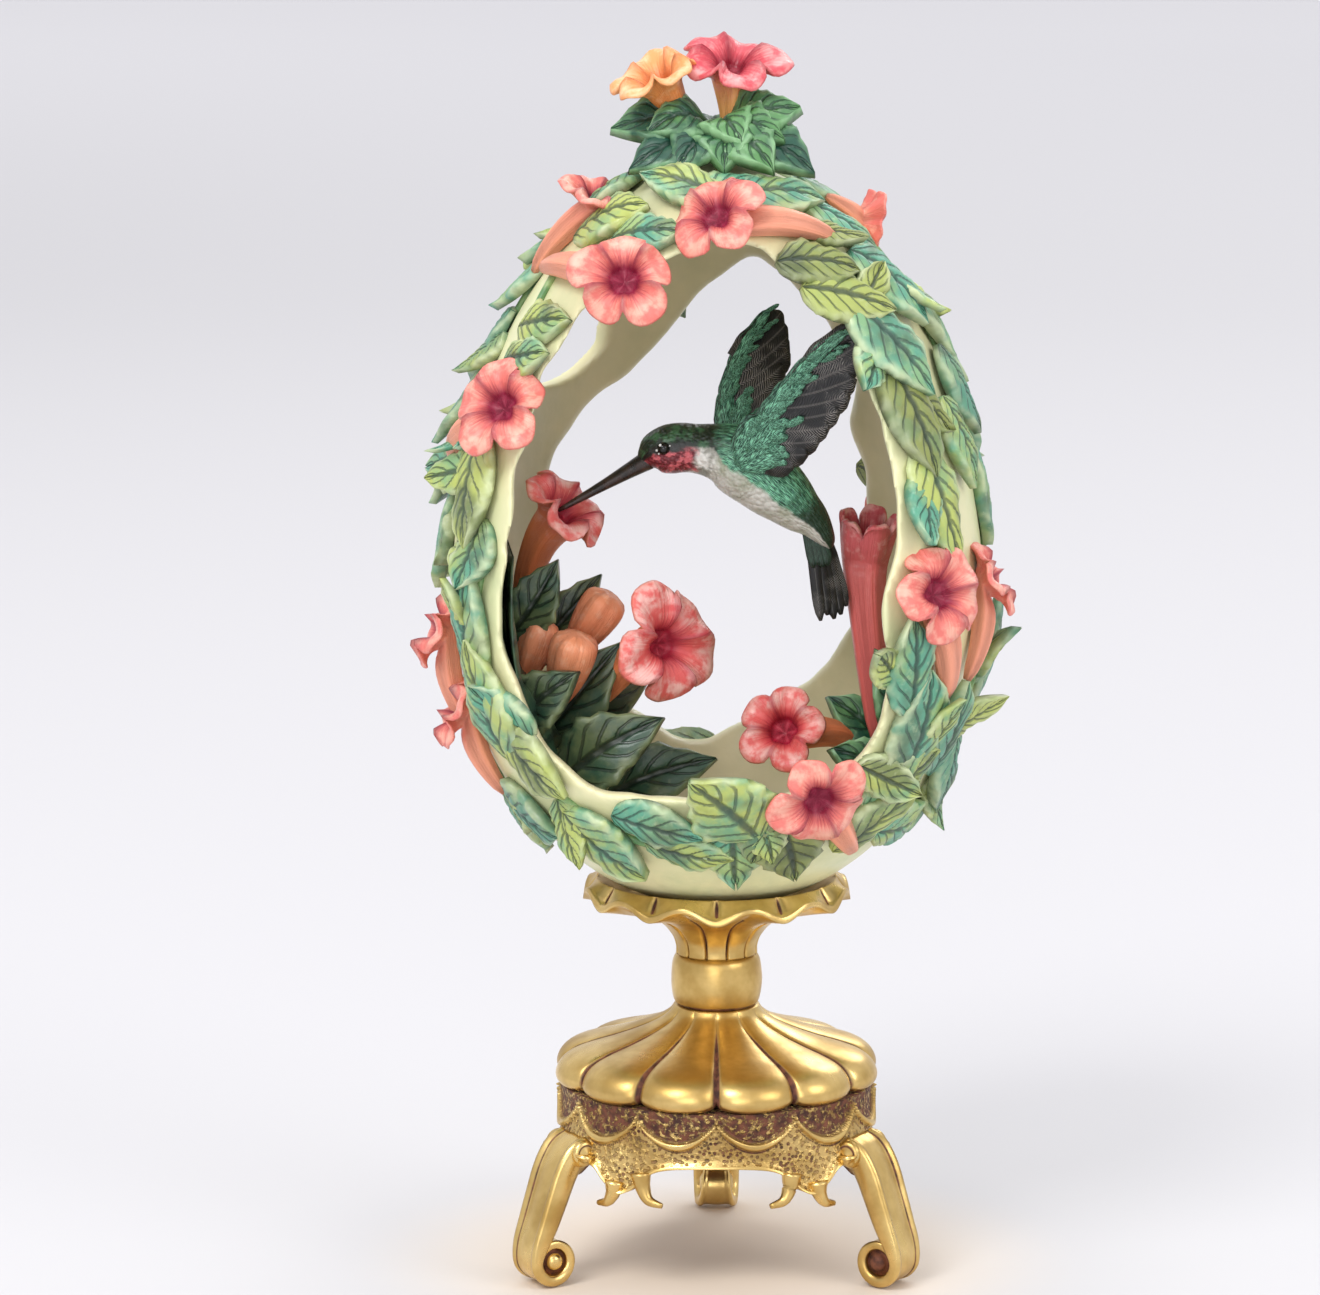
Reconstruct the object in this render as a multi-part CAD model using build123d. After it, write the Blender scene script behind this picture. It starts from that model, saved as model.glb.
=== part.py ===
from build123d import *
import math
import os

# A decorative egg on a stand. The egg is an openwork resin shell with leaves and trumpet
# flowers bonded on it in relief, a crown of flowers, and a hummingbird that feeds from a
# bouquet inside. The gilt stand is a ruffled cup, a collar, a fluted skirt, an apron and
# three scroll legs on one centre screw. The egg rests in the cup and lifts out of it.
# Lengths are in millimetres. The origin is on the floor under the stand's axis, and -Y is
# the front. Azimuths are degrees from the front, positive towards +X. A height share runs
# from 0 at the egg's lowest point to 1 at its top.

# Fits
PIECE_GAP = 0.1            # between bonded or clamped pieces
RELIEF_GAP = 0.12          # least, between the shell and the flat back of a leaf
SEAT_GAP = 0.3             # between the egg and its cup
OVERRUN = 3.0              # how far a cutter runs past what it cuts

# Stand
APRON_TOP = 24.2
APRON_DROP = 13.2          # from the deck to the lowest edge
APRON_RADIUS = 20.3        # round top edge
APRON_CORNER_RADIUS = 24.0
APRON_SIDE_RADIUS = 18.6   # middle of a side, at the bottom
APRON_WALL = 1.6
DECK_THICKNESS = 1.5
SKIRT_HEIGHT = 10.0
SKIRT_RADIUS = 21.2
SKIRT_WALL = 1.7
SKIRT_BOSS_RADIUS = 4.6
FLUTE_DEPTH = 1.5
COLLAR_HEIGHT = 6.8
COLLAR_RADIUS = 5.9
COLLAR_CUSHION = 0.6
CUP_STEM = 6.6             # from the cup's foot to the egg's lowest point
CUP_HOLD = 3.8             # how high the cup's band reaches up the egg
CUP_NECK_RADIUS = 5.0
CUP_LIP = 1.1
CUP_RUFFLE = 1.7
FLUTES = 12                # lobes of the skirt, and petals of the cup
LEG_AZIMUTHS = {"front_left_leg": -60, "front_right_leg": 60, "rear_leg": 180}
LEG_TOP = 18.8
LEG_REACH = 28.7           # outermost radius of a leg
LEG_THICKNESS = 3.0
LEG_TOP_WIDTH = 7.0
LEG_FOOT_WIDTH = 5.6
SCROLL_RADIUS = 3.4
SCROLL_SINK = 0.1          # depth of the small flat that a scroll stands on
SCROLL_EYE_RADIUS = 1.3
SCROLL_GROOVE = 0.7
EAR_RADIUS = 1.7
EAR_STANDOFF = 0.7
SCREW_RADIUS = 1.5
SCREW_HEAD_RADIUS = 3.0
SCREW_HEAD_HEIGHT = 2.0
SCREW_BITE = 4.8           # length of screw inside the cup
WASHER_RADIUS = 4.2
WASHER_THICKNESS = 0.8

# Egg
EGG_HEIGHT = 96.5
EGG_RADIUS = 34.0
EGG_WALL = 2.5
WIDEST_SHARE = 0.43
UPPER_POWER_SHARE = 2.05
UPPER_ROOT_SHARE = 0.56
LEAF_THICKNESS = 1.5
FLOWER_RADIUS = 5.6        # a full blown relief flower
FLOWER_STANDOFF = 3.4      # from the shell to the middle of its mouth
TUBE_RADIUS = 1.9
PETAL_THICKNESS = 0.8
CROWN_LEAF_LENGTH = 13.0
CROWN_LEAF_WIDTH = 8.5
CROWN_BOSS_RADIUS = 5.0
CROWN_BOSS_HEIGHT = 1.8

# Bouquet and bird
CASTING_THICKNESS = 4.5
SPRAY_LEAF_WIDTH = 8.5
SPRAY_LEAF_THICKNESS = 1.8
BUD_RADIUS = 3.0
SPRAY_FLOWER_RADIUS = 5.2
SPRAY_TUBE_RADIUS = 1.7
BIRD_LENGTH = 35.1         # beak tip to tail tip, along X
WING_THICKNESS = 0.9
EYE_RADIUS = 0.8

# Levels that follow from the sizes above
COLLAR_BASE = APRON_TOP + SKIRT_HEIGHT
CUP_BASE = COLLAR_BASE + COLLAR_HEIGHT
EGG_BASE = CUP_BASE + CUP_STEM
EGG_TOP = EGG_BASE + EGG_HEIGHT
BAND_LEVEL = EGG_BASE + CUP_HOLD
FLUTE_PITCH = 360 / FLUTES
UP = Vector(0, 0, 1)


# Places and rings

def polar(radius, azimuth, height):
    """A point at an azimuth from the front."""
    angle = math.radians(azimuth)
    return Vector(radius * math.sin(angle), -radius * math.cos(angle), height)


def egg_radius_share(height_share):
    """Radius of the shell's outside at a height, as a share of its widest radius."""
    if height_share < WIDEST_SHARE:
        below_share = (WIDEST_SHARE - height_share) / WIDEST_SHARE
        return math.sqrt(max(0, 1 - below_share**2))
    above_share = (height_share - WIDEST_SHARE) / (1 - WIDEST_SHARE)
    return max(0, 1 - above_share**UPPER_POWER_SHARE) ** UPPER_ROOT_SHARE


def skin_normal(azimuth, share):
    """Outward direction of the shell at a place."""
    low_share = max(0, share - 0.002)
    high_share = min(1, share + 0.002)
    rise = EGG_HEIGHT * (high_share - low_share)
    spread = EGG_RADIUS * (egg_radius_share(high_share) - egg_radius_share(low_share))
    slope = math.hypot(rise, spread)
    return polar(rise / slope, azimuth, -spread / slope)


def on_egg(azimuth, share, proud=0):
    """A point on the shell's outside, moved outwards by proud."""
    skin = polar(EGG_RADIUS * egg_radius_share(share), azimuth, EGG_BASE + EGG_HEIGHT * share)
    return skin + skin_normal(azimuth, share) * proud


def settled(point, proud):
    """The shell's place in the direction of a point, moved outwards by proud."""
    middle = UP * (EGG_BASE + EGG_HEIGHT * WIDEST_SHARE)
    ray = point - middle
    inner_share = 0
    outer_share = 3
    for _ in range(40):
        trial_share = (inner_share + outer_share) / 2
        probe = middle + ray * trial_share
        height_share = (probe.Z - EGG_BASE) / EGG_HEIGHT
        limit = EGG_RADIUS * egg_radius_share(height_share) if 0 < height_share < 1 else 0
        if math.hypot(probe.X, probe.Y) < limit:
            inner_share = trial_share
        else:
            outer_share = trial_share
    skin = middle + ray * inner_share
    azimuth = math.degrees(math.atan2(skin.X, -skin.Y))
    return skin + skin_normal(azimuth, (skin.Z - EGG_BASE) / EGG_HEIGHT) * proud


def spot(x_share, y_share, height_share):
    """A point inside the egg, in shares of its radius and height."""
    return Vector(x_share * EGG_RADIUS, y_share * EGG_RADIUS, EGG_BASE + height_share * EGG_HEIGHT)


def ring(centre, axis, radii, steady, squash_share=1):
    """Points round an axis at repeating radii, the first at right angles to steady."""
    plane = Plane(origin=centre, x_dir=steady.cross(axis), z_dir=axis)
    points = []
    for index, radius in enumerate(radii):
        angle = 2 * math.pi * index / len(radii)
        flat = Vector(radius * math.cos(angle), radius * math.sin(angle) * squash_share, 0)
        points.append(plane.from_local_coords(flat))
    return points


def faceted(sections):
    """A closed solid of flat triangles through rings of points, or single end points."""
    rings = [[section] if isinstance(section, Vector) else section for section in sections]
    triangles = []
    for low, high in zip(rings, rings[1:]):
        for index in range(max(len(low), len(high))):
            low_here = low[index % len(low)]
            low_next = low[(index + 1) % len(low)]
            high_here = high[index % len(high)]
            high_next = high[(index + 1) % len(high)]
            if len(low) > 1:
                triangles.append((low_here, low_next, high_here))
            if len(high) > 1:
                triangles.append((low_next, high_next, high_here))
    faces = [Face(Wire.make_polygon(corners, close=True)) for corners in triangles]
    for end in (rings[0], rings[-1]):
        if len(end) > 1:
            faces.append(Face(Wire.make_polygon(end, close=True)))
    return Solid(Shell(faces)).fix()


def largest(shape):
    """The largest solid of a cut piece, without its crumbs."""
    return max(shape.solids(), key=lambda solid: solid.volume)


def boxes_meet(a, b):
    """Whether two bounding boxes meet."""
    return (
        a.min.X < b.max.X and b.min.X < a.max.X
        and a.min.Y < b.max.Y and b.min.Y < a.max.Y
        and a.min.Z < b.max.Z and b.min.Z < a.max.Z
    )


def boxed(solid):
    """A solid with its bounding box, as the pieces that others are cut back from are kept."""
    return solid, solid.bounding_box()


def trimmed(solid, others):
    """A solid cut back from those that were placed before it."""
    box = solid.bounding_box()
    for other, other_box in others:
        if boxes_meet(box, other_box):
            solid = largest(solid - other)
    return solid


def upright(radius, low, high, centre=Vector(0, 0, 0)):
    """A cylinder between two levels."""
    return Solid.make_cylinder(radius, high - low, Plane(centre + UP * low))


def joined(solids):
    """One solid from several that overlap."""
    whole = solids[0]
    for solid in solids[1:]:
        whole = whole + solid
    return largest(whole)


# Stand: cup, collar, skirt

def egg_solid(grow, first=0, sweep=360):
    """The egg as a solid, with its skin moved out by grow, or a part turn of it."""
    radius = EGG_RADIUS + grow
    height = EGG_HEIGHT + 2 * grow
    base = EGG_BASE - grow
    points = []
    for step in range(19):
        swing = math.sin(math.radians(10 * step - 90))
        reach_share = WIDEST_SHARE if swing < 0 else 1 - WIDEST_SHARE
        share = WIDEST_SHARE + reach_share * swing
        points.append(Vector(radius * egg_radius_share(share), 0, base + height * share))
    points[0] = Vector(0, 0, base)
    points[-1] = Vector(0, 0, base + height)
    skin = Edge.make_spline(points, tangents=[Vector(1, 0, 0), Vector(-1, 0, 0)])
    half = Face(Wire([skin, Edge.make_line(points[-1], points[0])]))
    return Solid.revolve(half, sweep, Axis.Z).rotate(Axis.Z, first)


# Level, then the reach of a crest and of a groove, from the neck to the ruffled rim
CUP_SECTION_SHARES = (
    (0, 0, 0), (0.25, 0.12, 0.08), (0.48, 0.42, 0.34), (0.68, 0.79, 0.66),
)
CUP_CREST_SHARE = 0.92
CUP_TROUGH_SHARE = 0.77
CUP_TROUGH_REACH_SHARE = 0.97


# Height shares of the egg where one cone of the cup's seat meets the next
SEAT_SHARES = (0.006, 0.018, 0.035, 0.056, 0.08)


def seat_room():
    """What the cup's seat is cut with: cones round the low end of the egg, and its gap."""
    room = 1.5 * SEAT_GAP
    top = EGG_BASE + EGG_HEIGHT * SEAT_SHARES[-1]
    outline = [(0, 0, top), (0, 0, EGG_BASE - room)]
    for share in SEAT_SHARES:
        level = EGG_BASE - room + EGG_HEIGHT * share
        outline.append((EGG_RADIUS * egg_radius_share(share) + room, 0, level))
    outline[-1] = (outline[-1][0], 0, top)
    return Solid.revolve(Face(Wire.make_polygon(outline, close=True)), 360, Axis.Z)


def cup():
    """Ruffled petal cup, its seat cut to the egg."""
    height = BAND_LEVEL - CUP_BASE
    band_radius = EGG_RADIUS * egg_radius_share(CUP_HOLD / EGG_HEIGHT) + SEAT_GAP + CUP_LIP
    reach = band_radius + CUP_RUFFLE - CUP_NECK_RADIUS
    sections = []

    def level(places):
        outline = []
        for petal in range(FLUTES):
            for half, (radius, rise_share) in enumerate(places):
                azimuth = FLUTE_PITCH * (petal + half / 2)
                outline.append(polar(radius, azimuth, CUP_BASE + height * rise_share))
        sections.append(outline)

    for rise_share, crest_share, groove_share in CUP_SECTION_SHARES:
        level((
            (CUP_NECK_RADIUS + reach * groove_share, rise_share),
            (CUP_NECK_RADIUS + reach * crest_share, rise_share),
        ))
    level((
        (CUP_NECK_RADIUS + reach * CUP_TROUGH_REACH_SHARE, CUP_TROUGH_SHARE),
        (CUP_NECK_RADIUS + reach, CUP_CREST_SHARE),
    ))
    level(((band_radius, 1), (band_radius, 1)))
    bore = upright(SCREW_RADIUS + PIECE_GAP, CUP_BASE - OVERRUN, CUP_BASE + SCREW_BITE + PIECE_GAP)
    return largest(faceted(sections) - seat_room() - bore)


def collar():
    """Cushioned ring between the skirt and the cup."""
    bore = SCREW_RADIUS + PIECE_GAP
    shoulder = COLLAR_RADIUS - COLLAR_CUSHION
    top = COLLAR_BASE + COLLAR_HEIGHT
    low = Vector(shoulder, 0, COLLAR_BASE)
    high = Vector(shoulder, 0, top)
    swell = Vector(COLLAR_RADIUS, 0, (COLLAR_BASE + top) / 2)
    side = Edge.make_three_point_arc(low, swell, high)
    rest = Wire.make_polygon([high, (bore, 0, top), (bore, 0, COLLAR_BASE), low], close=False)
    return Solid.revolve(Face(Wire([side, *rest.edges()])), 360, Axis.Z)


# Level, radius and flute depth, from the top ring down to the scalloped edge
SKIRT_SECTION_SHARES = (
    (1, 0.264, 0), (0.9, 0.29, 0.05), (0.7, 0.47, 0.3), (0.54, 0.72, 0.6), (0.45, 0.895, 0.85),
    (0.28, 0.975, 1), (0.11, 1, 1), (0, 0.965, 0.7),
)
# Where a lobe's groove and its two crowns lie in one pitch
LOBE_TURN_SHARES = (0, 0.28, 0.72)
LOBE_DEPTH_SHARES = (1, 0, 0)


def skirt():
    """Tent of twelve pillowed lobes, hollow below round a boss."""
    sections = []
    for rise_share, radius_share, depth_share in SKIRT_SECTION_SHARES:
        outline = []
        for lobe in range(FLUTES):
            for turn_share, groove_share in zip(LOBE_TURN_SHARES, LOBE_DEPTH_SHARES):
                azimuth = FLUTE_PITCH * (lobe + turn_share)
                radius = SKIRT_RADIUS * radius_share - FLUTE_DEPTH * depth_share * groove_share
                outline.append(polar(radius, azimuth, APRON_TOP + SKIRT_HEIGHT * rise_share))
        sections.append(outline)
    rim = SKIRT_RADIUS - FLUTE_DEPTH - SKIRT_WALL
    slope_low = APRON_TOP + SKIRT_HEIGHT * 0.25
    slope_high = COLLAR_BASE - SKIRT_HEIGHT * 0.28 - SKIRT_WALL
    below = APRON_TOP - OVERRUN
    outline = [
        (SKIRT_BOSS_RADIUS, 0, below), (rim, 0, below), (rim, 0, slope_low),
        (rim * 0.66, 0, (slope_low + slope_high) / 2), (SKIRT_BOSS_RADIUS, 0, slope_high),
    ]
    hollow = Solid.revolve(Face(Wire.make_polygon(outline, close=True)), 360, Axis.Z)
    bore = upright(SCREW_RADIUS + PIECE_GAP, below, COLLAR_BASE + OVERRUN)
    return largest(faceted(sections) - hollow - bore)


# Stand: apron and legs

APRON_SIDES = 36
# Level below the deck and how far the outline has turned from a circle to a triangle
APRON_SECTION_SHARES = ((0, 0), (0.14, 0), (0.5, 0.5), (1, 1))
# The lower edge of one side, from a leg to the middle: along the side, then up
APRON_EDGE_SHARES = (
    (0.94, 0.23), (0.83, 0.48), (0.73, 0.38), (0.68, 0.1), (0.6, 0.17), (0.46, 0.02),
    (0.49, 0.32), (0.42, 0.43), (0.2, 0.45),
)


def apron_block(shrink, top, bottom):
    """The apron's outer form, shrunk by a wall: round above, a soft triangle below."""
    sections = []
    for drop_share, triangle_share in APRON_SECTION_SHARES:
        outline = []
        for side in range(APRON_SIDES):
            azimuth = 360 * side / APRON_SIDES
            corner_share = (0.5 - 0.5 * math.cos(math.radians(3 * azimuth))) ** 1.4
            spread = APRON_CORNER_RADIUS - APRON_SIDE_RADIUS
            soft = APRON_SIDE_RADIUS + spread * corner_share
            radius = APRON_RADIUS + (soft - APRON_RADIUS) * triangle_share - shrink
            outline.append(polar(radius, azimuth, top + (bottom - top) * drop_share))
        sections.append(outline)
    return faceted(sections)


def apron():
    """Hollow flare from the skirt down to the legs, with a deck and cut pendants."""
    floor = APRON_TOP - APRON_DROP
    hollow = apron_block(APRON_WALL, APRON_TOP - DECK_THICKNESS, floor - PIECE_GAP)
    bore = upright(SCREW_RADIUS + PIECE_GAP, floor, APRON_TOP + OVERRUN)
    body = apron_block(0, APRON_TOP, floor) - hollow - bore
    half_side = APRON_SIDE_RADIUS
    edge = [(half_side * along, floor + APRON_DROP * rise) for along, rise in APRON_EDGE_SHARES]
    mirrored = [(-along, level) for along, level in reversed(edge)]
    outer = half_side * APRON_EDGE_SHARES[0][0]
    below = floor - OVERRUN
    outline = [(outer, below), *edge, *mirrored, (-outer, below)]
    for panel in range(3):
        reach = APRON_CORNER_RADIUS + OVERRUN
        face = Face(Wire.make_polygon([(along, -reach, level) for along, level in outline]))
        cutter = Solid.extrude(face, Vector(0, reach - SKIRT_BOSS_RADIUS, 0))
        body = body - cutter.rotate(Axis.Z, 120 * panel)
    return largest(body)


def leg(azimuth, apron_room):
    """Scroll leg, cut to the apron's corner, that stands on its scroll."""
    centre = Vector(LEG_REACH - SCROLL_RADIUS, 0, SCROLL_RADIUS - SCROLL_SINK)
    crest = Vector(APRON_RADIUS + LEG_THICKNESS * 0.8, 0, LEG_TOP)
    outer_low = centre + Vector(SCROLL_RADIUS * 0.97, 0, SCROLL_RADIUS * 0.24)
    bulge = Vector(LEG_REACH - LEG_THICKNESS * 0.6, 0, LEG_TOP * 0.66)
    inner_low = centre + Vector(0, 0, SCROLL_RADIUS * 0.9)
    root = Vector(APRON_RADIUS - LEG_THICKNESS * 0.2, 0, LEG_TOP * 0.9)
    waist = inner_low + Vector(-LEG_THICKNESS * 0.35, 0, LEG_TOP * 0.24)
    edges = [
        Edge.make_three_point_arc(crest, bulge, outer_low),
        Edge.make_line(outer_low, inner_low),
        Edge.make_three_point_arc(inner_low, waist, root),
        Edge.make_line(root, crest),
    ]
    half = LEG_TOP_WIDTH / 2
    blade = Solid.extrude(Face(Wire(edges)), Vector(0, LEG_TOP_WIDTH, 0)).moved(Pos(0, -half, 0))
    across = Plane(centre - Vector(0, half, 0), x_dir=(1, 0, 0), z_dir=(0, 1, 0))
    scroll = Solid.make_cylinder(SCROLL_RADIUS, LEG_TOP_WIDTH, across)
    body = blade + scroll
    narrow = LEG_FOOT_WIDTH / 2
    inner = APRON_RADIUS - SCROLL_RADIUS * 2
    taper = Wire.make_polygon([
        (inner, -half, LEG_TOP + OVERRUN), (inner, half, LEG_TOP + OVERRUN),
        (inner, narrow, 0), (inner, -narrow, 0),
    ])
    body = body & Solid.extrude(Face(taper), Vector(LEG_REACH, 0, 0))
    for side in (-1, 1):
        face = Plane(centre + Vector(0, side * narrow, 0), z_dir=(0, side, 0))
        groove = Solid.make_cylinder(SCROLL_RADIUS * 0.72, OVERRUN, face.offset(-SCROLL_GROOVE))
        eye = Solid.make_cylinder(SCROLL_EYE_RADIUS, OVERRUN + SCROLL_GROOVE, face.offset(-OVERRUN))
        body = body - (groove - eye)
        body = body + eye
    ear_plane = Plane(
        crest - Vector(0, half + EAR_STANDOFF, LEG_THICKNESS * 0.35), z_dir=(0, 1, 0)
    )
    body = body + Solid.make_cylinder(EAR_RADIUS, LEG_TOP_WIDTH + 2 * EAR_STANDOFF, ear_plane)
    return largest(body.rotate(Axis.Z, azimuth - 90) - apron_room)


def centre_screw():
    """Pan-head screw from under the deck up into the cup."""
    seat = APRON_TOP - DECK_THICKNESS - WASHER_THICKNESS - PIECE_GAP
    head = upright(SCREW_HEAD_RADIUS, seat - SCREW_HEAD_HEIGHT, seat)
    return largest(head + upright(SCREW_RADIUS, seat, CUP_BASE + SCREW_BITE))


def screw_washer():
    """Washer between the screw's head and the deck."""
    deck = APRON_TOP - DECK_THICKNESS
    ring_body = upright(WASHER_RADIUS, deck - WASHER_THICKNESS, deck)
    return largest(ring_body - upright(SCREW_RADIUS + PIECE_GAP, deck - OVERRUN, deck + OVERRUN))


# Egg shell

# Openings: azimuth from the way the opening faces, and height share, round the rim
FRONT_RIM = (
    (8, 0.91), (19, 0.9), (26, 0.87), (36, 0.835), (41, 0.79), (41, 0.7), (43, 0.6), (40, 0.51),
    (37, 0.44), (40, 0.35), (38, 0.27), (30, 0.225), (14, 0.2), (-10, 0.2), (-28, 0.198),
    (-39, 0.225), (-47, 0.3), (-51, 0.38), (-51, 0.47), (-51, 0.57), (-51, 0.66), (-50, 0.75),
    (-45, 0.81), (-35, 0.85), (-20, 0.888), (-6, 0.906),
)
BACK_RIM = (
    (-9, 0.845), (12, 0.755), (20, 0.7), (32, 0.645), (40, 0.58), (42, 0.48), (40, 0.37),
    (33, 0.27), (22, 0.215), (8, 0.17), (-6, 0.195), (-22, 0.245), (-32, 0.32), (-36, 0.44),
    (-35, 0.55), (-33, 0.62), (-36, 0.69), (-30, 0.77), (-20, 0.825),
)
SIDE_RIM = (
    (-17, 0.735), (-9, 0.69), (4, 0.675), (15, 0.69), (21, 0.745), (17, 0.805), (6, 0.845),
    (-7, 0.825),
)
SIDE_FACING = -128


def opening(rim, facing):
    """Cutter for an opening in the wall, cut straight through the way it faces."""
    depth = EGG_RADIUS + OVERRUN
    sides = 2 * len(rim)
    points = []
    for azimuth, share in rim:
        across = EGG_RADIUS * egg_radius_share(share) * math.sin(math.radians(azimuth))
        points.append(Vector(across, -depth, EGG_BASE + EGG_HEIGHT * share))
    curve = Edge.make_spline(points, periodic=True)
    corners = [curve.position_at(side / sides) for side in range(sides)]
    outline = Face(Wire.make_polygon(corners, close=True))
    return Solid.extrude(outline, Vector(0, depth, 0)).rotate(Axis.Z, facing)


def egg_shell():
    """Thin egg with a wide front opening, a back opening and a window at the left rear."""
    front = egg_solid(0, 180, 180) - egg_solid(-EGG_WALL, 180, 180) - opening(FRONT_RIM, 0)
    back = egg_solid(0, 0, 180) - egg_solid(-EGG_WALL, 0, 180)
    back = back - opening(BACK_RIM, 180) - opening(SIDE_RIM, SIDE_FACING)
    return largest(front.fuse(back))


# Leaves

# Stations of a leaf: share of the length, of the half width and of the ridge
LEAF_STATION_SHARES = ((0.14, 0.7, 0.75), (0.45, 1.0, 1.0), (0.8, 0.66, 0.85))
LEAF_EDGE_SHARE = 0.45     # how thick a leaf is at its edge


def relief_leaf(azimuth, share, heading, length, width):
    """A pointed leaf that lies on the shell, its tip at a heading from straight up."""
    centre = on_egg(azimuth, share)
    right = polar(1, azimuth + 90, 0)
    up = skin_normal(azimuth, share).cross(right)
    turn = math.radians(heading)
    along = up * math.cos(turn) + right * math.sin(turn)
    across = right * math.cos(turn) - up * math.sin(turn)
    # The flat facets of the back must clear the curve of the shell between their corners
    chord = math.hypot(length * 0.35, width / 2)
    gap = RELIEF_GAP + chord**2 / (8 * EGG_RADIUS * egg_radius_share(share))

    def place(along_share, side_share, proud):
        offset = along * (length * (along_share - 0.5)) + across * (width / 2 * side_share)
        return settled(centre + offset, proud)

    sections = [place(0, 0, gap)]
    for along_share, half_share, ridge_share in LEAF_STATION_SHARES:
        ridge = LEAF_THICKNESS * ridge_share
        edge = ridge * LEAF_EDGE_SHARE
        sections.append([
            place(along_share, -half_share, gap),
            place(along_share, -half_share, gap + edge),
            place(along_share, 0, gap + ridge),
            place(along_share, half_share, gap + edge),
            place(along_share, half_share, gap),
            place(along_share, 0, gap),
        ])
    sections.append(place(1, 0, gap + LEAF_THICKNESS * 0.7))
    return faceted(sections)


def free_leaf(root, tip, width, thickness, face, arch=0):
    """A pointed leaf in the open, from root to tip, its ridge towards face."""
    along = tip - root
    across = along.cross(face).normalized()
    ridge = across.cross(along).normalized()
    sections = [root]
    for along_share, half_share, ridge_share in LEAF_STATION_SHARES:
        middle = root + along * along_share + ridge * (arch * math.sin(math.pi * along_share))
        side = across * (width / 2 * half_share)
        sections.append([
            middle - side,
            middle + ridge * (thickness * ridge_share / 2),
            middle + side,
            middle - ridge * (thickness * ridge_share / 2),
        ])
    sections.append(tip)
    return faceted(sections)


# Flowers

def trumpet(points, radii, rim_radius, facing, lobes=5):
    """A trumpet flower along points, from its base to the middle of its mouth.

    Returns the flower before its mouth is hollowed, and the finished flower.
    """
    last = len(points) - 1
    facing = facing.normalized()
    start = (points[1] - points[0]).normalized()
    steady = start.cross(facing)
    if steady.length < 0.1:
        steady = start.cross(Vector(1, 1, 0))
    sides = 2 * lobes
    sections = []
    for index, radius in enumerate(radii):
        ahead = (points[index + 1] - points[max(index - 1, 0)]).normalized()
        facing_share = (index / last) ** 2
        axis = ahead * (1 - facing_share) + facing * facing_share
        sections.append(ring(points[index], axis, [radius] * sides, steady))
    rim = [rim_radius, rim_radius * 0.72] * lobes
    sections.append(ring(points[last], facing, rim, steady))
    body = faceted(sections)
    throat = points[last - 1]
    throat_radius = max(radii[-1] - PETAL_THICKNESS, radii[-1] / 2)
    inner_rim = [radius - PETAL_THICKNESS for radius in rim]
    hollow = faceted([
        ring(points[last] + facing * PIECE_GAP, facing, inner_rim, steady),
        ring(throat + facing * PETAL_THICKNESS, facing, [throat_radius] * sides, steady),
        throat - facing * radii[-1],
    ])
    return body, largest(body - hollow)


SEAT_PLACE_SHARE = 0.36    # where along a flower its flat back touches the shell


def relief_flower(mouth, base, size_share, lean):
    """A flower on the shell: its tube lies along the shell, and its mouth turns outwards."""
    rim_radius = FLOWER_RADIUS * size_share
    tube = TUBE_RADIUS * size_share
    standoff = FLOWER_STANDOFF * size_share
    start = on_egg(*base, tube * 0.7)
    end = on_egg(*mouth, standoff)
    out = skin_normal(*mouth)
    away = (end - start).normalized()
    facing = (out + away * lean).normalized()
    throat = end - facing * (standoff * 0.75)
    middle = settled((start + throat) * 0.5, tube + RELIEF_GAP)
    radii = [tube * 0.55, tube, tube * 1.25]
    body, flower = trumpet([start, middle, throat, end], radii, rim_radius, facing)
    seat = settled(start + (end - start) * SEAT_PLACE_SHARE, RELIEF_GAP)
    height_share = (seat.Z - EGG_BASE) / EGG_HEIGHT
    down = skin_normal(math.degrees(math.atan2(seat.X, -seat.Y)), height_share) * -1
    reach = (end - start).length + rim_radius
    block = Plane(origin=seat, z_dir=down)
    floor = Face.make_rect(2 * reach, 2 * reach, block)
    return body, largest(flower - Solid.extrude(floor, down * reach))


# Each flower: mouth azimuth and height share, base azimuth and share, size share, lean
RELIEF_FLOWERS = {
    "upper_left_flower": ((-31, 0.85, -66, 0.85, 1, 0.5),),
    "left_closed_flowers": ((-96, 0.93, -92, 0.845, 0.7, 2.2),),
    "top_flower": ((-2, 0.925, 50, 0.9, 1, 0.5),),
    "left_rib_flower": ((-60, 0.7, -86, 0.625, 1, 0.5),),
    "lower_left_flowers": ((-97, 0.38, -84, 0.25, 0.85, 1.6), (-93, 0.28, -78, 0.19, 0.8, 1.6)),
    "right_rib_flower": ((49, 0.465, 57, 0.32, 1.05, 0.4),),
    "right_side_flower": ((84, 0.455, 68, 0.33, 0.8, 1.2),),
    "lower_right_flower": ((24, 0.21, 44, 0.12, 1, 0.2),),
    "upper_right_buds": ((96, 0.9, 88, 0.945, 0.65, 1.8),),
    "back_flower": ((150, 0.885, 118, 0.86, 1, 0.5), (-140, 0.14, -165, 0.1, 0.9, 0.5)),
    "rear_right_flower": ((136, 0.5, 122, 0.38, 1, 0.6),),
}

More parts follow.
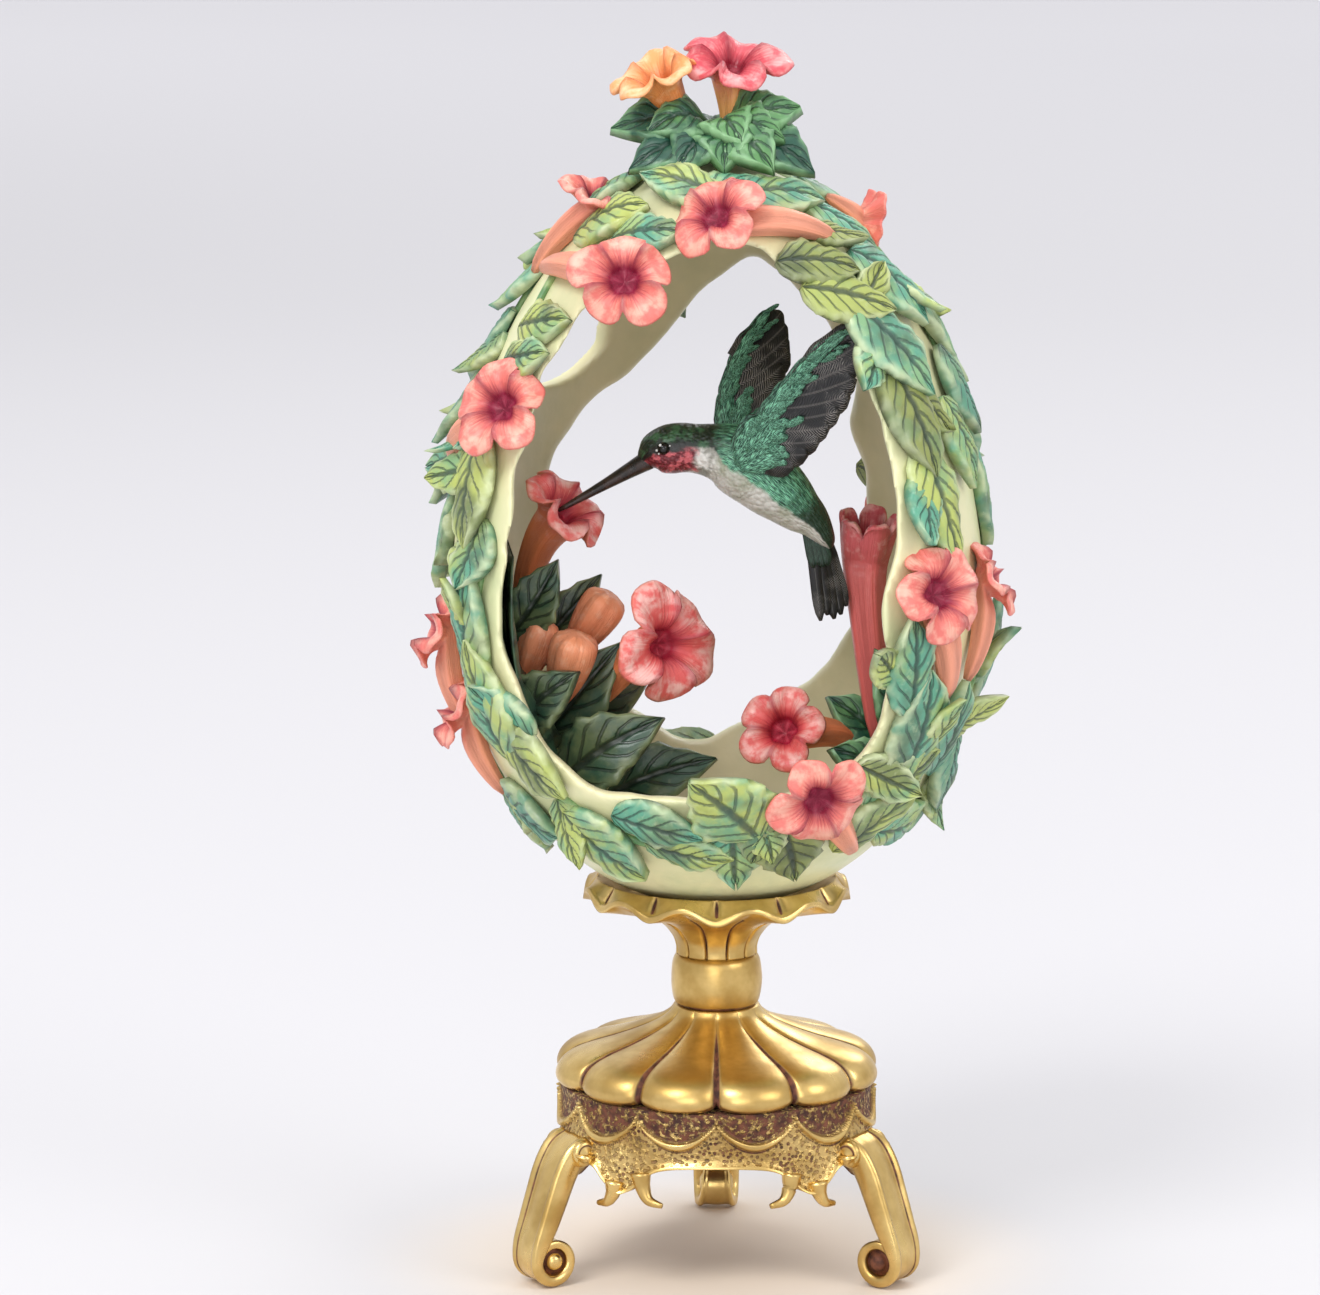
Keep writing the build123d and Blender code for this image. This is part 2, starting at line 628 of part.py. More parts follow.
# Each leaf: azimuth, height share, heading of its tip from straight up, length, width,
# the last two as shares of the egg's radius
RELIEF_LEAVES = {
    "left_rib_leaves": (
        (-58, 0.8, 78, 0.3, 0.17), (-57, 0.755, 80, 0.3, 0.15), (-65, 0.58, 172, 0.4, 0.26),
        (-62, 0.5, 195, 0.26, 0.22), (-62, 0.4, 3, 0.44, 0.22), (-59, 0.31, -12, 0.44, 0.26),
        (-50, 0.235, 128, 0.38, 0.22), (-70, 0.66, 190, 0.2, 0.14),
    ),
    "left_side_leaves": (
        (-98, 0.83, 190, 0.3, 0.2), (-97, 0.745, 200, 0.32, 0.22), (-99, 0.66, 175, 0.3, 0.22),
        (-92, 0.59, 250, 0.28, 0.2), (-96, 0.49, 180, 0.36, 0.24), (-112, 0.58, 160, 0.36, 0.24),
        (-118, 0.45, 185, 0.4, 0.26), (-116, 0.33, 170, 0.38, 0.24), (-126, 0.62, 220, 0.3, 0.2),
        (-98, 0.19, 200, 0.28, 0.2), (-120, 0.22, 190, 0.36, 0.24), (-110, 0.88, 160, 0.3, 0.18),
    ),
    "base_leaves": (
        (-64, 0.15, 110, 0.36, 0.22), (-82, 0.125, 190, 0.28, 0.2), (-34, 0.13, 140, 0.36, 0.24),
        (-16, 0.165, 98, 0.32, 0.18), (-8, 0.115, 100, 0.3, 0.16), (2, 0.195, -40, 0.36, 0.28),
        (5, 0.1, 175, 0.26, 0.22), (20, 0.11, 160, 0.3, 0.22), (46, 0.165, 38, 0.38, 0.18),
        (66, 0.14, 80, 0.32, 0.2), (88, 0.14, 120, 0.3, 0.2), (-108, 0.13, 170, 0.3, 0.22),
    ),
    "right_rib_leaves": (
        (50, 0.21, 48, 0.34, 0.22), (49, 0.285, 2, 0.42, 0.26), (43.5, 0.37, -8, 0.36, 0.2),
        (55, 0.575, 172, 0.44, 0.24), (51, 0.685, 168, 0.44, 0.24), (50, 0.77, 152, 0.42, 0.24),
        (42, 0.835, 115, 0.34, 0.2), (36, 0.875, 105, 0.3, 0.17), (64, 0.84, 150, 0.38, 0.22),
        (64, 0.91, 155, 0.36, 0.16),
    ),
    "right_side_leaves": (
        (66, 0.265, 5, 0.36, 0.22), (76, 0.2, 165, 0.3, 0.2), (92, 0.35, 0, 0.4, 0.24),
        (88, 0.56, 180, 0.38, 0.2), (69, 0.64, 170, 0.34, 0.18), (80, 0.7, 172, 0.34, 0.2),
        (97, 0.66, 180, 0.34, 0.22), (86, 0.79, 165, 0.34, 0.2), (104, 0.75, 190, 0.36, 0.24),
        (106, 0.25, 20, 0.38, 0.24), (108, 0.6, 175, 0.34, 0.22), (112, 0.16, 120, 0.3, 0.22),
    ),
    "top_leaves": (
        (4, 0.965, 70, 0.26, 0.17), (38, 0.955, 105, 0.32, 0.18), (-22, 0.962, -80, 0.28, 0.17),
        (-56, 0.925, 62, 0.34, 0.2), (-30, 0.912, 80, 0.26, 0.17), (-84, 0.95, 150, 0.26, 0.17),
        (110, 0.94, 160, 0.3, 0.2), (150, 0.95, 100, 0.3, 0.2), (-160, 0.94, 190, 0.32, 0.2),
        (-120, 0.95, 200, 0.28, 0.18),
    ),
    "back_leaves": (
        (-176, 0.87, 120, 0.34, 0.2), (-164, 0.8, 215, 0.34, 0.16), (-156, 0.745, 215, 0.3, 0.14),
        (-132, 0.54, 180, 0.3, 0.18), (-134, 0.38, 175, 0.3, 0.18), (-142, 0.24, 200, 0.34, 0.22),
        (-168, 0.15, 100, 0.34, 0.22), (168, 0.14, 80, 0.34, 0.22), (148, 0.2, 60, 0.36, 0.22),
        (132, 0.3, 10, 0.4, 0.24), (134, 0.42, 5, 0.36, 0.2), (133, 0.56, 175, 0.4, 0.22),
        (133, 0.68, 170, 0.36, 0.22), (136, 0.79, 160, 0.36, 0.22), (118, 0.68, 180, 0.34, 0.22),
        (120, 0.8, 150, 0.36, 0.22), (130, 0.15, 120, 0.32, 0.22), (120, 0.36, 0, 0.3, 0.2),
    ),
}


def relief():
    """All the flowers and leaves on the shell, each leaf cut back from what lies under it."""
    nodes = {}
    placed = []
    for name, flowers in RELIEF_FLOWERS.items():
        nodes[name] = []
        for mouth_turn, mouth_share, base_turn, base_share, size_share, lean in flowers:
            mouth = (mouth_turn, mouth_share)
            base = (base_turn, base_share)
            body, flower = relief_flower(mouth, base, size_share, lean)
            nodes[name].append(trimmed(flower, placed))
            placed.append(boxed(body))
    for name, leaves in RELIEF_LEAVES.items():
        nodes[name] = []
        for azimuth, share, heading, length_share, width_share in leaves:
            size = (EGG_RADIUS * length_share, EGG_RADIUS * width_share)
            leaf = trimmed(relief_leaf(azimuth, share, heading, *size), placed)
            nodes[name].append(leaf)
            placed.append(boxed(leaf))
    return nodes


# Crown

# Each leaf: azimuth, share of the full length, rise of its tip as a share of the length
CROWN_LEAVES = (
    (-92, 1, 0.4), (-58, 0.88, 0.03), (-24, 0.8, 0.07), (10, 0.76, 0.05), (42, 0.84, 0.08),
    (76, 0.95, 0.12), (104, 0.9, 0.34), (140, 0.85, 0.36), (178, 0.85, 0.3), (-138, 0.9, 0.36),
)


CROWN_ARCH_SHARE = 0.8     # rise of a leaf's middle as a share of its thickness


def crown():
    """Leaf casting on top of the egg, and the two trumpets that stand in it."""
    boss_top = EGG_TOP + CROWN_BOSS_HEIGHT
    stem = FLOWER_STANDOFF
    root = UP * (EGG_TOP + TUBE_RADIUS * 0.4)
    left = root + Vector(-TUBE_RADIUS * 1.2, 0, 0)
    right = root + Vector(TUBE_RADIUS * 0.9, 0, 0)
    left_facing = Vector(-0.75, -0.45, 0.9).normalized()
    right_facing = Vector(0.1, 0.55, 1).normalized()
    left_mouth = left + Vector(-stem * 1.7, -stem * 0.4, stem * 3.4)
    right_mouth = right + Vector(stem * 0.2, stem * 0.5, stem * 4)
    radii = [TUBE_RADIUS * 0.6, TUBE_RADIUS * 0.8, TUBE_RADIUS * 1.3]
    pieces = {}
    tubes = []
    for name, start, mouth, facing, size_share in (
        ("crown_orange_flower", left, left_mouth, left_facing, 0.95),
        ("crown_red_flower", right, right_mouth, right_facing, 1.1),
    ):
        throat = mouth - facing * (stem * 0.9)
        points = [start, (start + throat) * 0.5, throat, mouth]
        body, flower = trumpet(points, radii, FLOWER_RADIUS * size_share, facing)
        pieces[name] = [trimmed(flower, tubes)]
        tubes.append(boxed(body))
    steady = Vector(1, 0, 0)
    boss_radii = [CROWN_BOSS_RADIUS] * len(CROWN_LEAVES)
    casting = [faceted([
        ring(UP * (EGG_TOP + PIECE_GAP), UP, boss_radii, steady),
        ring(UP * boss_top, UP, boss_radii, steady),
    ])]
    for azimuth, length_share, rise_share in CROWN_LEAVES:
        length = CROWN_LEAF_LENGTH * length_share
        start = polar(CROWN_BOSS_RADIUS / 3, azimuth, EGG_TOP + CROWN_BOSS_HEIGHT / 2)
        tip = polar(CROWN_BOSS_RADIUS / 3 + length, azimuth, EGG_TOP + length * rise_share)
        arch = LEAF_THICKNESS * CROWN_ARCH_SHARE
        casting.append(free_leaf(start, tip, CROWN_LEAF_WIDTH, LEAF_THICKNESS, UP, arch))
    pieces["crown_leaves"] = [trimmed(joined(casting), tubes)]
    return pieces


# Bouquet on the left wall and spray on the right wall

# Level and depth of a casting that lines the wall
CASTING_LEVEL_SHARES = ((0, 0.45), (0.2, 0.9), (0.5, 1), (0.8, 0.8), (1, 0.3))


def wall_casting(first, last, low_share, high_share, thickness_share):
    """A casting against the inside of the wall, between two azimuths."""
    turns = [first + (last - first) * step / 4 for step in range(5)]
    sections = []
    for level_share, depth_share in CASTING_LEVEL_SHARES:
        share = low_share + (high_share - low_share) * level_share
        slope = EGG_WALL / skin_normal(0, share).Y * -1
        wall = EGG_RADIUS * egg_radius_share(share) - slope - RELIEF_GAP
        depth = CASTING_THICKNESS * thickness_share * depth_share
        level = EGG_BASE + EGG_HEIGHT * share
        outline = [polar(wall, turn, level) for turn in turns]
        outline += [polar(wall - depth, turn, level) for turn in reversed(turns)]
        sections.append(outline)
    return faceted(sections)


# Free leaves: root and tip in shares of the egg's radius and height, then a width share
BOUQUET_LEAVES = (
    ((-0.74, 0, 0.19), (-0.36, -0.1, 0.36), 1.1), ((-0.62, -0.2, 0.165), (-0.2, -0.28, 0.27), 1.1),
    ((-0.7, 0.2, 0.2), (-0.24, 0.14, 0.31), 1.1), ((-0.5, -0.05, 0.13), (0.0, -0.06, 0.2), 1),
    ((-0.8, -0.06, 0.36), (-0.6, -0.08, 0.47), 0.8), ((-0.74, 0.1, 0.32), (-0.44, 0.1, 0.44), 0.8),
    ((-0.76, -0.2, 0.26), (-0.52, -0.34, 0.335), 0.9),
)
SPRAY_LEAVES = (
    ((0.72, -0.02, 0.2), (0.6, -0.08, 0.35), 0.8), ((0.7, 0.2, 0.18), (0.42, 0.16, 0.27), 0.9),
    ((0.66, -0.16, 0.18), (0.42, -0.24, 0.225), 0.8),
)


def leaf_casting(castings, leaves, tubes):
    """Castings on the wall and their leaves in one piece, cut back from the flowers."""
    solids = list(castings)
    for root, tip, width_share in leaves:
        width = SPRAY_LEAF_WIDTH * width_share
        face = Vector(0.2, -1, 0.5)
        solids.append(free_leaf(spot(*root), spot(*tip), width, SPRAY_LEAF_THICKNESS, face))
    return trimmed(joined(solids), tubes)


def bud(base, tip, radius):
    """A closed bud with six faint sides."""
    axis = (tip - base).normalized()
    steady = Vector(0, 1, 0)
    reach = tip - base
    return faceted([
        ring(base, axis, [radius * 0.3] * 6, steady),
        ring(base + reach * 0.3, axis, [radius * 0.75] * 6, steady),
        ring(base + reach * 0.62, axis, [radius] * 6, steady),
        ring(base + reach * 0.9, axis, [radius * 0.7] * 6, steady),
        ring(tip, axis, [radius * 0.35] * 6, steady),
    ])


# Each flower: base, middle of the tube and mouth as places, facing, rim and tube shares
SPRAY_FLOWERS = {
    "feeding_flower": (
        (-0.74, 0.1, 0.4), (-0.69, 0.08, 0.47), (-0.556, 0, 0.539), (0.75, -0.35, 0.85), 1.1, 1.25),
    "open_flower": (
        (-0.46, -0.02, 0.275), (-0.34, -0.1, 0.33), (-0.17, -0.235, 0.372), (0.55, -1, 0.3), 1.4, 1.3),
    "low_flower": (
        (0.52, 0.16, 0.2), (0.44, 0.08, 0.225), (0.24, -0.08, 0.245), (-0.3, -1, 0.55), 1, 1.1),
    "tall_flower": (
        (0.63, 0.04, 0.2), (0.57, 0.06, 0.38), (0.57, 0.12, 0.5), (0.1, -0.2, 1), 0.72, 1.25),
}
# Each bud: base and tip as places, and a share of the full radius
BUDS = {
    "upper_bud": ((-0.56, 0.02, 0.335), (-0.4, -0.02, 0.42), 1),
    "side_bud": ((-0.74, -0.08, 0.3), (-0.65, -0.1, 0.39), 0.85),
    "orange_bud": ((-0.6, -0.14, 0.28), (-0.52, -0.21, 0.378), 1.05),
}


def sprays():
    """The bouquet that the bird feeds from, and the low spray across from it."""
    pieces = {}
    tubes = []
    for name, (base, middle, mouth, facing, rim_share, tube_share) in SPRAY_FLOWERS.items():
        facing = Vector(*facing).normalized()
        tube = SPRAY_TUBE_RADIUS * tube_share
        end = spot(*mouth)
        throat = end - facing * (tube * 1.6)
        points = [spot(*base), spot(*middle), throat, end]
        radii = [tube * 0.7, tube, tube * 1.25]
        body, flower = trumpet(points, radii, SPRAY_FLOWER_RADIUS * rim_share, facing)
        pieces[name] = [trimmed(flower, tubes)]
        tubes.append(boxed(body))
    for name, (base, tip, radius_share) in BUDS.items():
        body = trimmed(bud(spot(*base), spot(*tip), BUD_RADIUS * radius_share), tubes)
        pieces[name] = [body]
        tubes.append(boxed(body))
    left = [wall_casting(-116, -54, 0.17, 0.5, 1), wall_casting(-100, -58, 0.13, 0.36, 1.7)]
    right = [wall_casting(60, 124, 0.14, 0.3, 1.3)]
    pieces["bouquet_leaves"] = [leaf_casting(left, BOUQUET_LEAVES, tubes)]
    pieces["spray_leaves"] = [leaf_casting(right, SPRAY_LEAVES, tubes)]
    return pieces


# Hummingbird

# The beak reaches on into the flower from here
BEAK_TIP = spot(-0.538, -0.02, 0.546)
# Stations of the body: along, up, half height and half width, in shares of the length
BODY_STATION_SHARES = (
    (0.25, 0.148, 0.03, 0.03), (0.28, 0.17, 0.068, 0.064), (0.34, 0.19, 0.09, 0.085),
    (0.44, 0.194, 0.092, 0.086), (0.556, 0.171, 0.117, 0.111), (0.67, 0.103, 0.13, 0.12),
    (0.77, 0.017, 0.108, 0.1), (0.87, -0.074, 0.066, 0.068), (0.92, -0.14, 0.035, 0.05),
)
BEAK_STATION_SHARES = ((0.24, 0.143, 0.028), (0.12, 0.068, 0.018), (-0.13, -0.078, 0.008))
# Outlines, in shares of the length from the beak tip: along and up
NEAR_WING_SHARES = (
    (0.58, 0.13), (0.7, 0.3), (0.79, 0.44), (0.89, 0.56), (0.97, 0.638), (1.03, 0.645),
    (1.035, 0.58), (1.01, 0.5), (1.02, 0.42), (0.96, 0.35), (0.965, 0.28), (0.88, 0.22),
    (0.86, 0.15), (0.76, 0.1), (0.66, 0.08),
)
FAR_WING_SHARES = (
    (0.53, 0.19), (0.53, 0.31), (0.56, 0.43), (0.61, 0.56), (0.7, 0.635), (0.77, 0.61),
    (0.75, 0.53), (0.79, 0.48), (0.73, 0.41), (0.73, 0.34), (0.66, 0.2),
)
TAIL_SHARES = (
    (0.84, -0.1), (0.93, -0.12), (0.98, -0.24), (1, -0.4), (0.965, -0.43), (0.935, -0.41),
    (0.91, -0.45), (0.885, -0.3),
)
# How much each blade leans out to its side, per share along and up
NEAR_WING_LEAN = (-0.25, -0.3)
FAR_WING_LEAN = (0.15, 0.42)
TAIL_LEAN = (0, 0)


def bird_point(along_share, up_share, side_share=0):
    """A point of the bird, in shares of its length from the tip of the beak."""
    return BEAK_TIP + Vector(along_share, side_share, up_share) * BIRD_LENGTH


def blade(outline_shares, lean, side_share):
    """A flat feathered blade that leans to one side."""
    first_along, first_up = outline_shares[0]
    points = []
    for along_share, up_share in outline_shares:
        leaning = lean[0] * (along_share - first_along) + lean[1] * (up_share - first_up)
        points.append(bird_point(along_share, up_share, side_share + leaning))
    face = Face(Wire.make_polygon(points, close=True))
    return Solid.extrude(face, face.normal_at() * WING_THICKNESS)


def hummingbird(feeding_flower):
    """The bird: body, beak, wings, tail and eyes, with its beak in the feeding flower."""
    rings = []
    last = len(BODY_STATION_SHARES) - 1
    for index, (along_share, up_share, tall_share, wide_share) in enumerate(BODY_STATION_SHARES):
        before = BODY_STATION_SHARES[max(index - 1, 0)]
        after = BODY_STATION_SHARES[min(index + 1, last)]
        axis = Vector(after[0] - before[0], 0, after[1] - before[1])
        tall = BIRD_LENGTH * tall_share
        centre = bird_point(along_share, up_share)
        rings.append(ring(centre, axis, [tall] * 12, Vector(0, 1, 0), wide_share / tall_share))
    body = faceted(rings)
    beak_axis = bird_point(*BEAK_STATION_SHARES[0][:2]) - BEAK_TIP
    beak = faceted([
        ring(bird_point(along, up), beak_axis, [BIRD_LENGTH * thick] * 6, Vector(0, 1, 0))
        for along, up, thick in BEAK_STATION_SHARES
    ])
    eyes = []
    for side in (-1, 1):
        seat = bird_point(0.325, 0.205, side * 0.066)
        out = Vector(-0.3, side, 0.25).normalized()
        eye = faceted([
            ring(seat, out, [EYE_RADIUS] * 8, UP),
            ring(seat + out * EYE_RADIUS, out, [EYE_RADIUS * 0.8] * 8, UP),
            ring(seat + out * (EYE_RADIUS * 1.4), out, [EYE_RADIUS * 0.35] * 8, UP),
        ])
        eyes.append(trimmed(eye, [boxed(body)]))
    return {
        "bird_body": [body],
        "bird_beak": [trimmed(beak, [boxed(body), boxed(feeding_flower)])],
        "near_wing": [trimmed(blade(NEAR_WING_SHARES, NEAR_WING_LEAN, -0.085), [boxed(body)])],
        "far_wing": [trimmed(blade(FAR_WING_SHARES, FAR_WING_LEAN, 0.06), [boxed(body)])],
        "bird_tail": [trimmed(blade(TAIL_SHARES, TAIL_LEAN, 0.012), [boxed(body)])],
        "bird_eyes": eyes,
    }


# Assembly

def model():
    """Every node of the object and its solids."""
    apron_room = apron_block(-PIECE_GAP, APRON_TOP + PIECE_GAP, APRON_TOP - APRON_DROP)
    nodes = {
        "cup": [cup()],
        "collar": [collar()],
        "skirt": [skirt()],
        "apron": [apron()],
        "centre_screw": [centre_screw()],
        "screw_washer": [screw_washer()],
        "egg_shell": [egg_shell()],
    }
    for name, azimuth in LEG_AZIMUTHS.items():
        nodes[name] = [leg(azimuth, apron_room)]
    nodes.update(relief())
    nodes.update(crown())
    nodes.update(sprays())
    nodes.update(hummingbird(nodes["feeding_flower"][0]))
    return nodes


os.makedirs("parts", exist_ok=True)
for node, solids in model().items():
    shape = solids[0] if len(solids) == 1 else Compound(children=solids)
    export_step(shape, f"parts/{node}.step")
    print(node, len(solids), round(sum(solid.volume for solid in solids), 1))
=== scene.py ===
import math
import random

import bpy
import bmesh
from mathutils import Matrix, Vector, noise


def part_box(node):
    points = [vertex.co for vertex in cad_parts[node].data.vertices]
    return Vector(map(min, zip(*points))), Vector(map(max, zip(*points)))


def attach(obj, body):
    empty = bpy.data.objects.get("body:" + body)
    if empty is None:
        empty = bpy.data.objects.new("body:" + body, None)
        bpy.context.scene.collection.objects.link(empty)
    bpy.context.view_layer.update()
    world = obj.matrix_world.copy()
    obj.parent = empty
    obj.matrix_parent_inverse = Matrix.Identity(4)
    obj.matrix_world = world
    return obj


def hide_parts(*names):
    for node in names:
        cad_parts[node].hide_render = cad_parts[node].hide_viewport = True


# The looks of a decorative egg on a stand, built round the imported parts. Lengths are in
# metres. An azimuth is in degrees from the front (-Y), positive towards +X. A height share
# runs from 0 at the egg's lowest point to 1 at its top. A place of a point on a piece is
# kept in its "mark" colour, which the paints read.

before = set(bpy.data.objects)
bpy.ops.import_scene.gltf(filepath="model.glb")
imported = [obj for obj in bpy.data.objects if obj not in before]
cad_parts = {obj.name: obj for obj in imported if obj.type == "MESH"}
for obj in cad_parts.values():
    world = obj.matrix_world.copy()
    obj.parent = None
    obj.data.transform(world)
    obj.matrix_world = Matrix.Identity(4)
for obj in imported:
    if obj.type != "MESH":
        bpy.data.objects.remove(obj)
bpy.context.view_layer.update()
MM = 0.001
UP = Vector((0, 0, 1))

# Sizes read from the frame
egg_low, egg_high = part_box("egg_shell")
EGG_BASE = egg_low.z
EGG_HEIGHT = egg_high.z - egg_low.z
EGG_RADIUS = (egg_high.x - egg_low.x) / 2
EGG_TOP = egg_high.z
skirt_low, skirt_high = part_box("skirt")
apron_low, apron_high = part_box("apron")
cup_low, cup_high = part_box("cup")
collar_low, collar_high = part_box("collar")

# Given sizes
EGG_WALL = 2.5 * MM
WIDEST_SHARE = 0.43
UPPER_POWER = 2.05
UPPER_ROOT = 0.56
LEAF_THICKNESS = 1.5 * MM
FLOWER_RADIUS = 5.6 * MM
FLOWER_STANDOFF = 3.4 * MM
TUBE_RADIUS = 1.9 * MM
PETAL_THICKNESS = 0.7 * MM
FLUTES = 12
BALL_STEPS = 12
BALL_TURNS = 20
PLAIN_MARK = (0, 0, 0, 1)


# Places on the egg

def polar(radius, azimuth, height):
    angle = math.radians(azimuth)
    return Vector((radius * math.sin(angle), -radius * math.cos(angle), height))


def egg_radius_share(share):
    """Radius of the shell's outside at a height, as a share of its widest radius."""
    if share < WIDEST_SHARE:
        return math.sqrt(max(0, 1 - ((WIDEST_SHARE - share) / WIDEST_SHARE) ** 2))
    above = min(1, (share - WIDEST_SHARE) / (1 - WIDEST_SHARE))
    return max(0, 1 - above**UPPER_POWER) ** UPPER_ROOT


def skin_normal(azimuth, share):
    low = max(0, share - 0.004)
    high = min(1, share + 0.004)
    rise = EGG_HEIGHT * (high - low)
    spread = EGG_RADIUS * (egg_radius_share(high) - egg_radius_share(low))
    return polar(rise, azimuth, -spread).normalized()


def on_egg(azimuth, share, proud=0):
    skin = polar(EGG_RADIUS * egg_radius_share(share), azimuth, EGG_BASE + EGG_HEIGHT * share)
    return skin + skin_normal(azimuth, share) * proud


def settled(point, proud):
    """The shell's place in the direction of a point, moved outwards by proud."""
    middle = UP * (EGG_BASE + EGG_HEIGHT * WIDEST_SHARE)
    ray = point - middle
    near = 0
    far = 3
    for _ in range(22):
        trial = (near + far) / 2
        probe = middle + ray * trial
        share = (probe.z - EGG_BASE) / EGG_HEIGHT
        limit = EGG_RADIUS * egg_radius_share(share) if 0 < share < 1 else 0
        if math.hypot(probe.x, probe.y) < limit:
            near = trial
        else:
            far = trial
    skin = middle + ray * near
    azimuth = math.degrees(math.atan2(skin.x, -skin.y))
    return skin + skin_normal(azimuth, (skin.z - EGG_BASE) / EGG_HEIGHT) * proud


def spot(x_share, y_share, height_share):
    """A point inside the egg, in shares of its radius and height."""
    return Vector((x_share * EGG_RADIUS, y_share * EGG_RADIUS, EGG_BASE + height_share * EGG_HEIGHT))


def curve_steps(a, b, c, d, steps):
    """Points from b to c on the smooth curve through four points."""
    return [0.5 * (2 * b + (c - a) * t + (2 * a - 5 * b + 4 * c - d) * t * t + (3 * b - a - 3 * c + d) * t**3)
            for t in (step / steps for step in range(steps))]


def smooth_path(points, steps):
    """Points on a smooth curve through the given ones."""
    padded = [points[0] * 2 - points[1], *points, points[-1] * 2 - points[-2]]
    path = []
    for index in range(len(points) - 1):
        path.extend(curve_steps(*padded[index:index + 4], steps))
    path.append(points[-1])
    return path


def closed_smooth(points, steps):
    """A closed smooth curve through points."""
    path = []
    for index in range(len(points)):
        corners = [points[(index + shift) % len(points)] for shift in (-1, 0, 1, 2)]
        path.extend(curve_steps(*corners, steps))
    return path


def blend(stations, at):
    """Values at a place between stations, on smooth curves through them."""
    last = len(stations) - 1
    index = 0
    while index < last - 1 and at > stations[index + 1][0]:
        index += 1
    before, after = stations[index], stations[index + 1]
    prior, following = stations[max(index - 1, 0)], stations[min(index + 2, last)]
    span = after[0] - before[0]
    t = min(max((at - before[0]) / span, 0), 1)
    values = []
    for k in range(1, len(before)):
        first = (after[k] - prior[k]) / (after[0] - prior[0]) * span
        second = (following[k] - before[k]) / (following[0] - before[0]) * span
        rise = after[k] - before[k]
        values.append(before[k] + first * t + (3 * rise - 2 * first - second) * t * t
                      + (first + second - 2 * rise) * t**3)
    return values


# Meshes

class Sheet:
    """Rows of points that become one mesh, with the mark of each point."""

    def __init__(self):
        self.points = []
        self.marks = []
        self.faces = []

    def rows(self, rows, closed=True):
        """Join rows of (point, mark) pairs. Closed rows go all round, with a cap at both ends."""
        start = len(self.points)
        width = len(rows[0])
        for row in rows:
            for point, mark in row:
                self.points.append(point)
                self.marks.append(mark)
        for r in range(len(rows) - 1):
            for c in range(width if closed else width - 1):
                a = start + r * width + c
                b = start + r * width + (c + 1) % width
                self.faces.append((a, b, b + width, a + width))
        if closed:
            end = len(self.points)
            self.faces += [tuple(range(start, start + width)), tuple(range(end - width, end))]


def bare(name, sheet):
    """A mesh object from a sheet, without its marks."""
    mesh = bpy.data.meshes.new(name)
    mesh.from_pydata([tuple(point) for point in sheet.points], [], sheet.faces)
    form = bmesh.new()
    form.from_mesh(mesh)
    bmesh.ops.recalc_face_normals(form, faces=form.faces)
    form.to_mesh(mesh)
    form.free()
    obj = bpy.data.objects.new(name, mesh)
    bpy.context.scene.collection.objects.link(obj)
    return obj


def finish_piece(obj, marks, paint, body, replaced=()):
    """Mark and paint a mesh object and let it ride on a body."""
    mark = obj.data.attributes.new("mark", "FLOAT_COLOR", "POINT")
    mark.data.foreach_set("color", [value for values in marks for value in values])
    obj.data.materials.clear()
    obj.data.materials.append(paint)
    for polygon in obj.data.polygons:
        polygon.use_smooth = True
    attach(obj, body)
    if replaced:
        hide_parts(*replaced)


def piece(name, sheet, paint, body, replaced=()):
    finish_piece(bare(name, sheet), sheet.marks, paint, body, replaced)


def circle(centre, first, second, radius, turns, mark):
    """A ring of points in the plane of two directions, all with one mark."""
    angles = (2 * math.pi * turn / turns for turn in range(turns))
    return [(centre + (first * math.cos(angle) + second * math.sin(angle)) * radius, mark) for angle in angles]


def tube(sheet, path, radii, sides, mark=(0, 0, 0.5, 1)):
    """A round bar along a path. radii gives its radius at a share of the path."""
    steady = Vector((0.31, 0.2, 1)).normalized()
    last = len(path) - 1
    rows = []
    for index, point in enumerate(path):
        ahead = path[min(index + 1, last)] - path[max(index - 1, 0)]
        across = ahead.cross(steady).normalized()
        upward = across.cross(ahead).normalized()
        rows.append(circle(point, across, upward, radii(index / last), sides, mark))
    sheet.rows(rows)


def add_ball(sheet, centre, axis, radius):
    side = axis.cross(UP).normalized()
    other = axis.cross(side)
    rows = []
    for step in range(1, BALL_STEPS):
        latitude = math.pi * step / BALL_STEPS
        middle = centre + axis * (radius * math.cos(latitude))
        rows.append(circle(middle, side, other, radius * math.sin(latitude), BALL_TURNS, (0.5, 0.5, 0.5, 1)))
    sheet.rows(rows)


# Paints

NOISE_ROUGHNESS = 0.55
COAT_ROUGHNESS = 0.25


def tint(red, green, blue):
    """A scene colour from display values of 0 to 255."""
    values = []
    for value in (red, green, blue):
        share = value / 255
        values.append(share / 12.92 if share < 0.04 else ((share + 0.055) / 1.055) ** 2.4)
    return (*values, 1)


